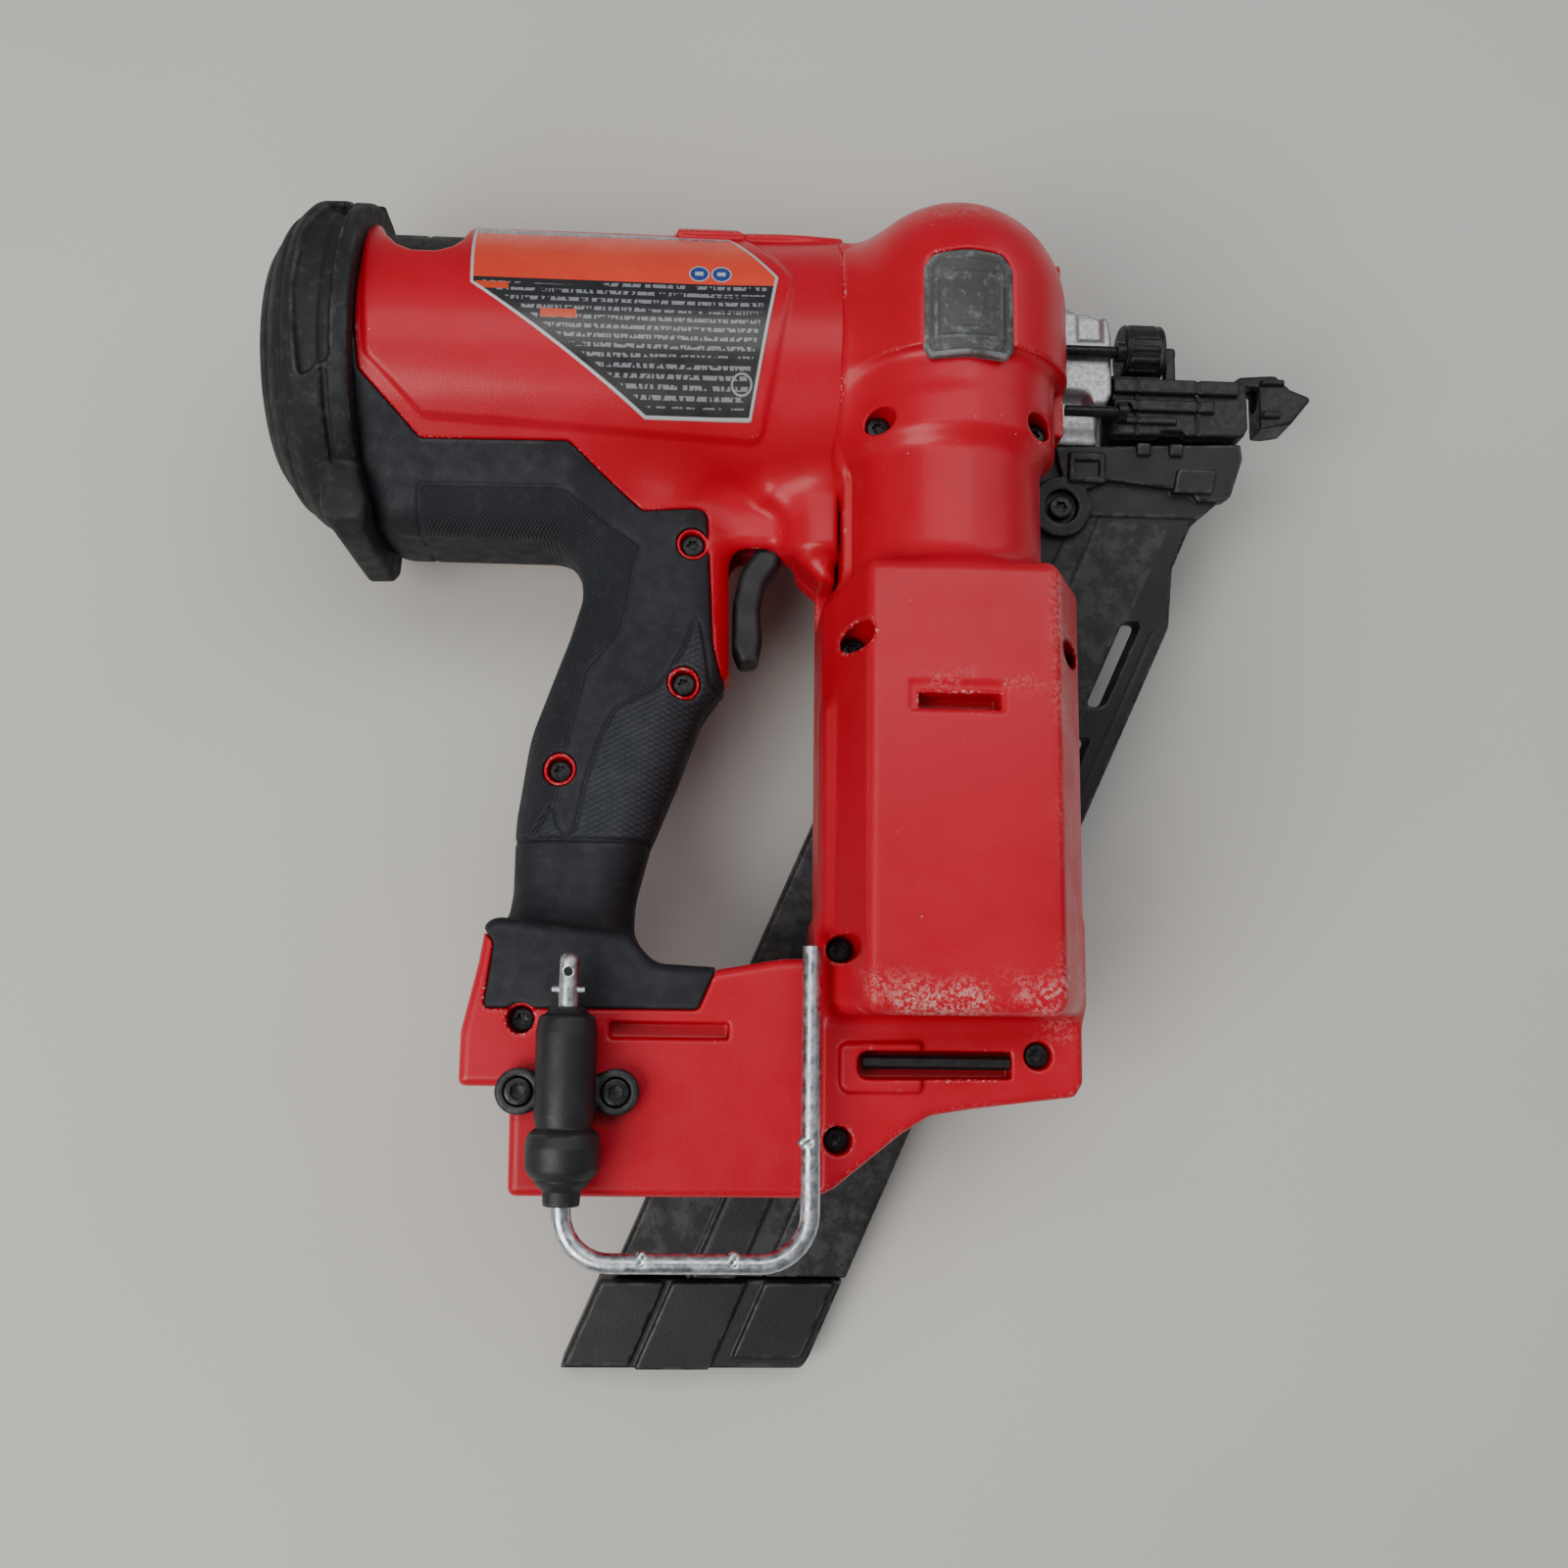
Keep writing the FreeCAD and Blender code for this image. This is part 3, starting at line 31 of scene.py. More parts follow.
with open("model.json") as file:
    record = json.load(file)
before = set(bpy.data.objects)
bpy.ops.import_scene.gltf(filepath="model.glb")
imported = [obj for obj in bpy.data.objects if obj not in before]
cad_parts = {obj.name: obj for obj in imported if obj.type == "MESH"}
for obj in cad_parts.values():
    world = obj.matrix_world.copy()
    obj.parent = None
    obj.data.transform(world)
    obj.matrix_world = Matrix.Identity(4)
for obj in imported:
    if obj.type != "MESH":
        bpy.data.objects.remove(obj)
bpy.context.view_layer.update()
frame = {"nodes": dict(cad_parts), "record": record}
record = frame["record"]
muzzle = next(m for m in record["mounts"] if m["name"] == "muzzle")
MOUNT_TO_TIP = np.array([0.007, 0, 0])
ORIGIN = np.array(muzzle["pos_m"]) + MOUNT_TO_TIP
MM = 0.001
COARSE = 1.0

# ---------------- distance fields


def smin(a, b, k):
    """Union with a fillet about as wide as k."""
    h = np.clip(0.5 + 0.5 * (b - a) / k, 0, 1)
    return b + (a - b) * h - k * h * (1 - h)


def smax(a, b, k):
    """Intersection with its edge rounded over about k."""
    return -smin(-a, -b, k)


def carve(a, b, k=0.6):
    """a with b taken out of it."""
    return smax(a, -b, k)


def step(d, width):
    """0 outside a region and 1 inside it, where d is the distance to the region's edge."""
    t = np.clip(0.5 - d / width, 0, 1)
    return t * t * (3 - 2 * t)


def groove(d, width, depth):
    """How far a line at d = 0 sinks the surface."""
    return depth * np.exp(-((d / width) ** 2))


def rounded(w1, w2, r):
    """The corner between two distances, rounded by r."""
    w1, w2 = w1 + r, w2 + r
    inside = np.minimum(np.maximum(w1, w2), 0)
    return inside + np.hypot(np.maximum(w1, 0), np.maximum(w2, 0)) - r


def block(p, x, y, z, r=1.0):
    """A box with edges rounded by r."""
    total = 0
    inner = -1e9
    for axis, (low, high) in enumerate((x, y, z)):
        q = np.abs(p[:, axis] - (low + high) / 2) - (high - low) / 2 + r
        total = total + np.maximum(q, 0) ** 2
        inner = np.maximum(inner, q)
    return np.sqrt(total) + np.minimum(inner, 0) - r


def rod(p, axis, centre, low, high, radius, r=0.6):
    """A cylinder along an axis with rims rounded by r."""
    a, b = [i for i in range(3) if i != axis]
    across = np.hypot(p[:, a] - centre[0], p[:, b] - centre[1]) - radius
    along = np.abs(p[:, axis] - (low + high) / 2) - (high - low) / 2
    return rounded(across, along, r)


def ball(p, centre, radius):
    return np.sqrt(sum((p[:, i] - centre[i]) ** 2 for i in range(3))) - radius


def bend(points):
    """A closed outline with each corner that has a third value rounded by it."""
    out = []
    count = len(points)
    for i, point in enumerate(points):
        here = np.array(point[:2], float)
        radius = point[2] if len(point) > 2 else 0
        before = np.array(points[i - 1][:2], float) - here
        after = np.array(points[(i + 1) % count][:2], float) - here
        la, lb = np.linalg.norm(before), np.linalg.norm(after)
        before, after = before / la, after / lb
        angle = math.acos(np.clip(before @ after, -1, 1))
        if radius == 0 or angle > 3.1:
            out.append(here)
            continue
        reach = min(radius / math.tan(angle / 2), 0.48 * la, 0.48 * lb)
        start, end = here + before * reach, here + after * reach
        for t in np.linspace(0, 1, 7):
            out.append((1 - t) ** 2 * start + 2 * t * (1 - t) * here + t * t * end)
    return np.array(out)


class Plan:
    """The signed distance to a flat outline, or the distance to an open line, kept on a fine grid."""

    def __init__(self, points, cell=0.4, margin=14, is_open=False):
        points = np.array(points, float) if is_open else bend(points)
        self.cell = cell
        self.low = points.min(0) - margin
        self.size = np.ceil((points.max(0) + margin - self.low) / cell).astype(int) + 1
        u = self.low[0] + cell * np.arange(self.size[0])
        v = self.low[1] + cell * np.arange(self.size[1])
        U, V = np.meshgrid(u, v, indexing="ij")
        best = np.full(U.shape, 1e9)
        inside = np.zeros(U.shape, bool)
        ends = zip(points[:-1], points[1:]) if is_open else zip(points, np.roll(points, -1, 0))
        for a, b in ends:
            d = b - a
            if d @ d < 1e-12:
                continue
            t = np.clip(((U - a[0]) * d[0] + (V - a[1]) * d[1]) / (d @ d), 0, 1)
            best = np.minimum(best, (U - a[0] - t * d[0]) ** 2 + (V - a[1] - t * d[1]) ** 2)
            if not is_open and a[1] != b[1]:
                crosses = (V < a[1]) != (V < b[1])
                inside ^= crosses & (U < a[0] + (V - a[1]) / (b[1] - a[1]) * d[0])
        self.table = (np.sqrt(best) * np.where(inside, -1, 1)).astype(np.float32)

    def __call__(self, u, v):
        fu, fv = (u - self.low[0]) / self.cell, (v - self.low[1]) / self.cell
        cu = np.clip(fu, 0, self.size[0] - 1.001)
        cv = np.clip(fv, 0, self.size[1] - 1.001)
        i, j = cu.astype(np.int32), cv.astype(np.int32)
        a, b = cu - i, cv - j
        t = self.table
        near = (t[i, j] * (1 - a) + t[i + 1, j] * a) * (1 - b) + (
            t[i, j + 1] * (1 - a) + t[i + 1, j + 1] * a
        ) * b
        return near + np.hypot(fu - cu, fv - cv) * self.cell


def plate(p, plan, low, high, r=1.0):
    """An outline in X and Y, from low to high in Z, with rims rounded by r."""
    return rounded(plan(p[:, 0], p[:, 1]), np.abs(p[:, 2] - (low + high) / 2) - (high - low) / 2, r)


def turned(p, plan, axis=0, centre=(0, 0)):
    """An outline of (along, radius) turned about an axis."""
    a, b = [i for i in range(3) if i != axis]
    return plan(p[:, axis], np.hypot(p[:, a] - centre[0], p[:, b] - centre[1]))


def lathe_plan(points, cell=0.3):
    """A turned outline, carried across its axis so that the axis isn't an edge."""
    lower = [(p[0], -p[1], *p[2:]) for p in reversed(points)]
    return Plan(list(points) + lower, cell)


# ---------------- skinning a field

CUBE = [(i, j, k) for i in (0, 1) for j in (0, 1) for k in (0, 1)]
EDGES = [
    (a, b) for a in range(8) for b in range(a + 1, 8) if sum(x != y for x, y in zip(CUBE[a], CUBE[b])) == 1
]


def in_parts(field, points, size=400000):
    return np.concatenate([field(points[i : i + size]) for i in range(0, len(points), size)])


def skin(field, low, high, cell):
    """Vertices and quads of the surface where field is zero."""
    cell = cell * COARSE
    low = np.array(low, float) - 2 * cell
    span = 8
    blocks = np.ceil((np.array(high, float) + 2 * cell - low) / (cell * span)).astype(int)
    grid = np.stack(np.meshgrid(*[np.arange(n) for n in blocks], indexing="ij"), -1).reshape(-1, 3)
    centres = low + (grid + 0.5) * span * cell
    far = in_parts(field, centres)
    reach = cell * span * 0.9
    values = np.repeat(
        np.repeat(np.repeat(np.sign(far).reshape(blocks), span, 0), span, 1), span, 2
    ).astype(np.float32)
    values *= 10
    local = np.stack(np.meshgrid(*[np.arange(span)] * 3, indexing="ij"), -1).reshape(-1, 3)
    near = grid[np.abs(far) < reach]
    nodes = (near[:, None, :] * span + local[None]).reshape(-1, 3)
    values[nodes[:, 0], nodes[:, 1], nodes[:, 2]] = in_parts(field, low + nodes * cell)
    inside = values < 0
    n = np.array(values.shape) - 1
    count = sum(inside[i : i + n[0], j : j + n[1], k : k + n[2]].astype(np.int8) for i, j, k in CUBE)
    cells = np.argwhere((count > 0) & (count < 8))
    index = np.full(n, -1, np.int32)
    index[cells[:, 0], cells[:, 1], cells[:, 2]] = np.arange(len(cells))
    corner = np.stack([values[cells[:, 0] + i, cells[:, 1] + j, cells[:, 2] + k] for i, j, k in CUBE], 1)
    total = np.zeros((len(cells), 3))
    hits = np.zeros(len(cells))
    for a, b in EDGES:
        crossed = (corner[:, a] < 0) != (corner[:, b] < 0)
        t = np.where(crossed, corner[:, a] / np.where(crossed, corner[:, a] - corner[:, b], 1), 0)
        spot = np.array(CUBE[a]) + t[:, None] * (np.array(CUBE[b]) - np.array(CUBE[a]))
        total += spot * crossed[:, None]
        hits += crossed
    points = low + (cells + total / hits[:, None]) * cell
    quads = []
    for axis in range(3):
        u, v = (axis + 1) % 3, (axis + 2) % 3
        head = [slice(1, -1)] * 3
        tail = [slice(1, -1)] * 3
        head[axis], tail[axis] = slice(0, -1), slice(1, None)
        first, second = inside[tuple(head)], inside[tuple(tail)]
        for flip in (False, True):
            found = np.argwhere(~first & second if flip else first & ~second)
            found[:, u] += 1
            found[:, v] += 1
            ring = []
            for du, dv in ((-1, -1), (0, -1), (0, 0), (-1, 0)):
                c = found.copy()
                c[:, u] += du
                c[:, v] += dv
                ring.append(index[c[:, 0], c[:, 1], c[:, 2]])
            ring = np.stack(ring if not flip else ring[::-1], 1)
            quads.append(ring[(ring >= 0).all(1)])
    quads = np.concatenate(quads)
    tetra = np.array([(1, -1, -1), (-1, -1, 1), (-1, 1, -1), (1, 1, 1)], float)
    for _ in range(3):
        h = 0.04
        at = [in_parts(field, points + h * t) for t in tetra]
        slope = sum(d[:, None] * t for d, t in zip(at, tetra)) / (4 * h)
        value = sum(at) / 4
        move = value[:, None] * slope / np.maximum((slope**2).sum(1), 0.2)[:, None]
        length = np.linalg.norm(move, axis=1)
        points -= move * np.minimum(1, 0.7 * cell / np.maximum(length, 1e-9))[:, None]
    return points, quads


def canted(p, degrees):
    """Points turned about the drive axis, so that a leaning piece can be drawn upright."""
    c, s = math.cos(math.radians(degrees)), math.sin(math.radians(degrees))
    return np.stack([p[:, 0], p[:, 1] * c + p[:, 2] * s, p[:, 2] * c - p[:, 1] * s], 1)


def as_mesh(name, points, faces, slot, stands_for, marks, body, material):
    """A mesh object from points in tool millimetres, riding on a body."""
    mesh = bpy.data.meshes.new(name)
    faces = np.asarray(faces, np.int32)
    mesh.vertices.add(len(points))
    mesh.vertices.foreach_set("co", (points * MM + ORIGIN).astype(np.float32).ravel())
    mesh.loops.add(faces.size)
    mesh.loops.foreach_set("vertex_index", faces.ravel())
    mesh.polygons.add(len(faces))
    mesh.polygons.foreach_set("loop_start", np.arange(0, faces.size, faces.shape[1], dtype=np.int32))
    mesh.update(calc_edges=True)
    mesh.validate()
    for key, value in marks.items():
        layer = mesh.attributes.new(key, "FLOAT", "POINT")
        layer.data.foreach_set("value", value.astype(np.float32))
    mesh.shade_smooth()
    piece = bpy.data.objects.new(name, mesh)
    bpy.context.scene.collection.objects.link(piece)
    mesh.materials.append(material or FINISHES[slot])
    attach(piece, body)
    if stands_for:
        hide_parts(*stands_for)


def mould(name, field, low, high, cell, slot, stands_for=(), marks=None, body="housing", material=None):
    """A piece skinned from a distance field, with marks measured at its vertices."""
    points, quads = skin(field, low, high, cell)
    measured = {key: in_parts(rule, points) for key, rule in (marks or {}).items()}
    probe = 1.6
    around = [in_parts(field, points + probe * np.array(d)) for d in np.vstack([np.eye(3), -np.eye(3)])]
    measured["edge"] = np.clip((sum(around) / 6) / probe * 2.4, 0, 1)
    as_mesh(name, points, quads, slot, stands_for, measured, body, material)


# ---------------- materials


class Nodes:
    """A material's node tree, with short calls for the nodes that the finishes share."""

    def __init__(self, name, **constants):
        self.material = bpy.data.materials.new(name)
        self.material.use_nodes = True
        self.tree = self.material.node_tree
        self.shader = self.tree.nodes["Principled BSDF"]
        for socket, value in constants.items():
            self.shader.inputs[socket.replace("_", " ")].default_value = value
        self.place = self.add("ShaderNodeTexCoord").outputs["Object"]

    def add(self, kind, **settings):
        node = self.tree.nodes.new(kind)
        for key, value in settings.items():
            setattr(node, key, value)
        return node

    def plug(self, socket, value):
        if isinstance(value, bpy.types.NodeSocket):
            self.tree.links.new(value, socket)
        else:
            socket.default_value = value

    def math(self, operation, a, b=0.0, clamp=False):
        node = self.add("ShaderNodeMath", operation=operation, use_clamp=clamp)
        self.plug(node.inputs[0], a)
        self.plug(node.inputs[1], b)
        return node.outputs[0]

    def times(self, a, b):
        return self.math("MULTIPLY", a, b)

    def stretch(self, scale, turn=(0, 0, 0)):
        node = self.add("ShaderNodeMapping")
        self.plug(node.inputs["Vector"], self.place)
        node.inputs["Scale"].default_value = scale
        node.inputs["Rotation"].default_value = [math.radians(a) for a in turn]
        return node.outputs[0]

    def noise(self, scale, detail=3.0, roughness=0.5, vector=None):
        node = self.add("ShaderNodeTexNoise")
        self.plug(node.inputs["Vector"], vector or self.place)
        for key, value in (("Scale", scale), ("Detail", detail), ("Roughness", roughness)):
            node.inputs[key].default_value = value
        return node.outputs["Fac"]

    def spots(self, scale):
        node = self.add("ShaderNodeTexVoronoi")
        self.plug(node.inputs["Vector"], self.place)
        node.inputs["Scale"].default_value = scale
        return node.outputs["Distance"]

    def wave(self, scale, turn, profile="SIN"):
        node = self.add("ShaderNodeTexWave", wave_profile=profile)
        self.plug(node.inputs["Vector"], self.stretch((1, 1, 1), turn))
        node.inputs["Scale"].default_value = scale
        return node.outputs["Fac"]

    def ramp(self, value, low, high, start=0.0, end=1.0):
        node = self.add("ShaderNodeMapRange", clamp=True, interpolation_type="SMOOTHSTEP")
        self.plug(node.inputs["Value"], value)
        for key, number in (("From Min", low), ("From Max", high), ("To Min", start), ("To Max", end)):
            node.inputs[key].default_value = number
        return node.outputs[0]

    def mix(self, share, a, b):
        node = self.add("ShaderNodeMix", data_type="RGBA")
        self.plug(node.inputs["Factor"], share)
        self.plug(node.inputs["A"], a if isinstance(a, bpy.types.NodeSocket) else (*a, 1))
        self.plug(node.inputs["B"], b if isinstance(b, bpy.types.NodeSocket) else (*b, 1))
        return node.outputs["Result"]

    def mark(self, name):
        return self.add("ShaderNodeAttribute", attribute_name=name).outputs["Fac"]

    def finish(self, colour, roughness, height=None, distance=0.0004, strength=0.6):
        self.plug(self.shader.inputs["Base Color"], colour)
        self.plug(self.shader.inputs["Roughness"], roughness)
        if height is not None:
            bump = self.add("ShaderNodeBump")
            bump.inputs["Distance"].default_value = distance
            bump.inputs["Strength"].default_value = strength
            self.plug(bump.inputs["Height"], height)
            self.plug(self.shader.inputs["Normal"], bump.outputs[0])
        return self.material


def red_plastic():
    n = Nodes("red_plastic", Coat_Weight=0.12, Coat_Roughness=0.16, Specular_IOR_Level=0.28)
    cloud = n.ramp(n.noise(18, 2), 0.3, 0.7)
    colour = n.mix(cloud, (0.50, 0.001, 0.014), (0.57, 0.002, 0.020))
    dust = n.ramp(n.noise(420, 4, 0.7), 0.62, 0.8, 0, 0.22)
    colour = n.mix(dust, colour, (0.75, 0.08, 0.10))
    patches = n.ramp(n.noise(38, 3, 0.6), 0.46, 0.62)
    chips = n.ramp(n.noise(900, 3, 0.75), 0.56, 0.62)
    worn = n.times(n.ramp(n.mark("edge"), 0.16, 0.5), n.times(patches, chips))
    heavy = n.times(
        n.mark("scuff"),
        n.times(n.ramp(n.noise(650, 4, 0.8), 0.47, 0.56), n.ramp(n.noise(60, 2), 0.35, 0.6)),
    )
    specks = n.times(n.ramp(n.spots(160), 0.05, 0.03), n.ramp(n.noise(25, 1), 0.55, 0.66))
    bare = n.math("MAXIMUM", n.math("MAXIMUM", worn, heavy), n.times(specks, 0.7), clamp=True)
    colour = n.mix(n.times(bare, 0.75), colour, (0.83, 0.62, 0.56))
    scratch = n.ramp(n.noise(9, 6, 0.85, n.stretch((60, 4, 60), (0, 0, 35))), 0.66, 0.7, 0, 0.12)
    colour = n.mix(scratch, colour, (0.85, 0.3, 0.3))
    rough = n.math("ADD", n.ramp(n.noise(70, 4), 0.3, 0.7, 0.3, 0.42), n.times(bare, 0.3))
    grain = n.noise(1500, 2, 0.6)
    return n.finish(colour, rough, n.math("SUBTRACT", grain, n.times(bare, 0.8)), 0.0002, 0.35)


def rubber(name, dark, pale, hatch=True, wear=0.07):
    n = Nodes(name, Specular_IOR_Level=0.35)
    cloud = n.ramp(n.noise(30, 3), 0.3, 0.7)
    colour = n.mix(cloud, dark, pale)
    dust = n.times(n.ramp(n.noise(220, 5, 0.75), 0.5, 0.75), wear)
    edges = n.times(
        n.ramp(n.mark("edge"), 0.15, 0.6), n.ramp(n.noise(90, 4, 0.7), 0.4, 0.65, 0, wear * 1.6)
    )
    colour = n.mix(n.math("MAXIMUM", dust, edges, clamp=True), colour, (0.22, 0.23, 0.24))
    rough = n.ramp(n.noise(160, 3), 0.3, 0.7, 0.55, 0.72)
    height = n.times(n.noise(1700, 2, 0.6), 0.25)
    if hatch:
        fine = n.times(n.wave(330, (0, 0, 45)), n.wave(330, (0, 0, -45)))
        scales = n.times(n.wave(175, (0, 0, 62), "SAW"), n.wave(175, (0, 0, -62), "SAW"))
        height = n.math("ADD", height, n.times(fine, n.mark("hatch")))
        height = n.math("ADD", height, n.times(scales, n.mark("scale")))
        pale_tips = n.times(
            n.math("ADD", n.times(fine, n.mark("hatch")), n.times(scales, n.mark("scale"))), 0.5
        )
        colour = n.mix(pale_tips, colour, (0.065, 0.075, 0.09))
    return n.finish(colour, rough, height, 0.0007, 0.9)


def plastic(name, dark, pale, rough=(0.42, 0.56), grain=1200, wear=0.3):
    n = Nodes(name, Specular_IOR_Level=0.45)
    colour = n.mix(n.ramp(n.noise(45, 3), 0.3, 0.7), dark, pale)
    edges = n.times(
        n.ramp(n.mark("edge"), 0.15, 0.55), n.ramp(n.noise(140, 4, 0.7), 0.42, 0.62, 0, wear * 0.5)
    )
    dust = n.ramp(n.noise(300, 5, 0.8), 0.6, 0.8, 0, wear * 0.07)
    colour = n.mix(n.math("MAXIMUM", edges, dust), colour, (0.3, 0.3, 0.3))
    return n.finish(colour, n.ramp(n.noise(120, 3), 0.3, 0.7, *rough), n.noise(grain, 3, 0.6), 0.00018, 0.5)


def metal(
    name, dark, pale, rough=(0.25, 0.4), stretch=(1, 1, 1), scale=300, bump=0.3, metallic=1.0, stain=0.0
):
    n = Nodes(name, Metallic=metallic)
    streaks = n.noise(scale, 4, 0.6, n.stretch(stretch))
    colour = n.mix(n.ramp(streaks, 0.3, 0.7), dark, pale)
    if stain:
        colour = n.mix(n.ramp(n.noise(150, 5, 0.75), 0.52, 0.72, 0, stain), colour, (0.12, 0.1, 0.08))
    return n.finish(colour, n.ramp(n.noise(scale * 0.7, 3), 0.3, 0.7, *rough), streaks, 0.0001, bump)


CAP_RUBBER = rubber("cap_rubber", (0.008, 0.0085, 0.010), (0.016, 0.017, 0.019), hatch=False, wear=0.14)
FINISHES = {
    "red_plastic": red_plastic(),
    "black_rubber": rubber("black_rubber", (0.008, 0.0095, 0.013), (0.014, 0.016, 0.021)),
    "worn_rubber": rubber("worn_rubber", (0.05, 0.052, 0.05), (0.10, 0.105, 0.10), hatch=False, wear=0.9),
    "black_plastic": plastic("black_plastic", (0.008, 0.008, 0.009), (0.014, 0.0145, 0.016)),
    "black_steel": metal(
        "black_steel", (0.010, 0.010, 0.011), (0.022, 0.022, 0.024), (0.36, 0.52), scale=500, metallic=0.35
    ),
    "bright_steel": metal(
        "bright_steel", (0.42, 0.43, 0.45), (0.62, 0.63, 0.65), (0.2, 0.35), (1, 8, 8), 250
    ),
    "zinc_wire": metal(
        "zinc_wire", (0.40, 0.43, 0.46), (0.72, 0.75, 0.78), (0.24, 0.5), (1, 1, 1), 420, 0.5, stain=0.35
    ),
    "cast_aluminium": metal(
        "cast_aluminium", (0.42, 0.42, 0.43), (0.60, 0.60, 0.61), (0.42, 0.6), (1, 1, 1), 900, 0.8,
        stain=0.2,
    ),
    "black_screw": metal(
        "black_screw", (0.010, 0.010, 0.011), (0.03, 0.03, 0.032), (0.28, 0.45), scale=800, metallic=0.6
    ),
    "winding": metal("winding", (0.45, 0.16, 0.06), (0.7, 0.32, 0.14), (0.25, 0.4), (1, 30, 1), 200, 0.8),
    "board": plastic("board", (0.01, 0.06, 0.03), (0.015, 0.09, 0.045), (0.3, 0.5), 300),
    "seal": plastic("seal", (0.008, 0.008, 0.008), (0.013, 0.013, 0.013)),
    "urethane": plastic("urethane", (0.20, 0.09, 0.02), (0.28, 0.13, 0.03), (0.3, 0.45)),
}
FINISHES["printed_label"] = FINISHES["black_plastic"]
for part in record["subparts"]:
    mesh = frame["nodes"][part["node"]].data
    mesh.materials.clear()
    mesh.materials.append(FINISHES[part["material_slot"]])

# ---------------- barrel, handle and foot

CAP_FRONT, SEAM_X = -340.3, -176.8
barrel_plan = lathe_plan([
    (CAP_FRONT, 0), (CAP_FRONT, 49.5, 1), (-215, 49.5, 20), (SEAM_X - 0.15, 50.4, 0.5), (SEAM_X - 0.15, 0)
])
handle_plan = Plan([
    (-220, -50), (-213.5, -64, 4), (-212.8, -100, 6), (-212.5, -112, 3), (-223, -126, 30), (-231, -149, 40),
    (-240.5, -174, 40), (-244.8, -192, 40), (-245.2, -216), (-289, -216), (-284.8, -190, 30),
    (-284.8, -166, 60), (-280.8, -136, 60), (-268.8, -101, 30), (-264, -84, 20), (-268, -66), (-262, -25),
    (-225, -25),
])
foot_plan = Plan([
    (-289.5, -200, 6), (-291.5, -214, 8), (-296.2, -236, 4), (-296.2, -252.8, 2.5), (-282, -252.8, 4),
    (-280, -256, 4), (-279.5, -286.2, 3), (-183.6, -286.2, 1.5), (-183.6, -211.5, 2), (-195, -211.8, 5),
    (-216, -215.5, 8), (-236, -214.5, 10), (-245, -205, 6),
])
flare_plan = Plan([
    (-203, -20), (-203, -50, 3), (-190.3, -58, 3), (-189.7, -73, 3), (-182.5, -80, 3), (-177.2, -80.5, 1),
    (-177.2, -20),
])
overmold_plan = Plan([
    (-380, 16), (-342, 11), (-339, -19.2, 3), (-319.8, -38, 3), (-269.8, -37.4, 3), (-244.7, -56.6, 3),
    (-222.3, -54.6, 4), (-219.4, -103, 8), (-216.5, -114, 4), (-209, -121, 3), (-205, -140), (-205, -210.5),
    (-216, -215, 1.5), (-221.6, -228.3, 2), (-289.3, -228.6, 2), (-286.8, -208, 3), (-291, -203),
    (-300, -190), (-300, -95), (-380, -95),
], margin=40)
strap_plan = Plan([
    (-320.5, -52, 2), (-271.9, -51.4, 3), (-244.5, -69.5, 3), (-246.7, -75.9, 4), (-250.7, -99.5, 6),
    (-262.6, -113.9, 8), (-268, -141, 10), (-271.6, -160, 5), (-279, -172, 5), (-300, -172), (-300, -100),
    (-275, -100), (-275, -90), (-321.8, -90),
])
front_grip_plan = Plan([
    (-271.2, -160, 3), (-270.6, -166, 3), (-266.2, -172.4, 3), (-263.9, -167.6, 4), (-261.3, -152.9, 5),
    (-256.5, -136.6, 5), (-251.6, -126.7, 5), (-236.5, -118.2, 5), (-229, -104.9, 4), (-224.6, -91.6, 2),
    (-221.6, -106, 4), (-220, -117, 3), (-200, -124), (-200, -172), (-279, -172),
])
panel_plan = Plan([
    (-350, 70), (-341.5, 42), (-337.2, 10, 3), (-335.5, -14.5, 4), (-317.9, -31.2, 4), (-205, -35.8, 4),
    (-195.2, 17, 5), (-213, 42.5, 4), (-218, 70),
])
notch_plan = Plan([
    (-342, 62), (-339.0, 44.0, 1.5), (-334.1, 33.9, 1.5), (-329.6, 28.3, 1.5), (-324.1, 25.3, 1.5),
    (-315.9, 25.3, 1.5), (-310.7, 27.8, 1.5), (-308.0, 31.8, 1.5), (-307.1, 38.9, 1.5), (-305.5, 62),
])
SHELL_SCREWS = [
    (-227.0, -68.0, 14.0), (-229.0, -117.5, 13.6), (-270.0, -148.5, 12.6), (-277.5, -232.0, 31.0)
]


def barrel(p):
    """The round body, with the low hump along its top towards the front."""
    x, y = p[:, 0], p[:, 1]
    hump = step(-(x + 235), 2.4) * step(40.5 - y + 0.02 * (x + 235), 3.5)
    return turned(p, barrel_plan) - 2.6 * hump * step(x + 176, 50)


def chin(p):
    return block(p, (-341, -258), (-65.5, -10), (-26, 26), 13)


def handle(p):
    taper = 1.2 * step(p[:, 1] + 150, 80)
    swell = 19.4 + 0.8 * step(p[:, 1] + 120, 60)
    return rounded(handle_plan(p[:, 0], p[:, 1]) + taper * 0.3, np.abs(p[:, 2]) - swell, 14.5)


def foot(p):
    body = plate(p, foot_plan, -21.8, 39.8, 3.2)
    cavity = block(p, (-320, -187.5), (-300, -257), (-18, 36), 2)
    return carve(body, cavity, 0.6)


def bridge(p):
    return block(p, (-224, -184.5), (-66, -20), (-13, 13), 4)


def flare(p):
    wedge = rounded(flare_plan(p[:, 0], p[:, 1]), np.abs(p[:, 2] - 4) - 17, 5)
    swell = rod(p, 1, (-181, 10), -70, -20, 15, 3)
    return smin(wedge, smax(swell, p[:, 0] - SEAM_X + 0.3, 1), 6)


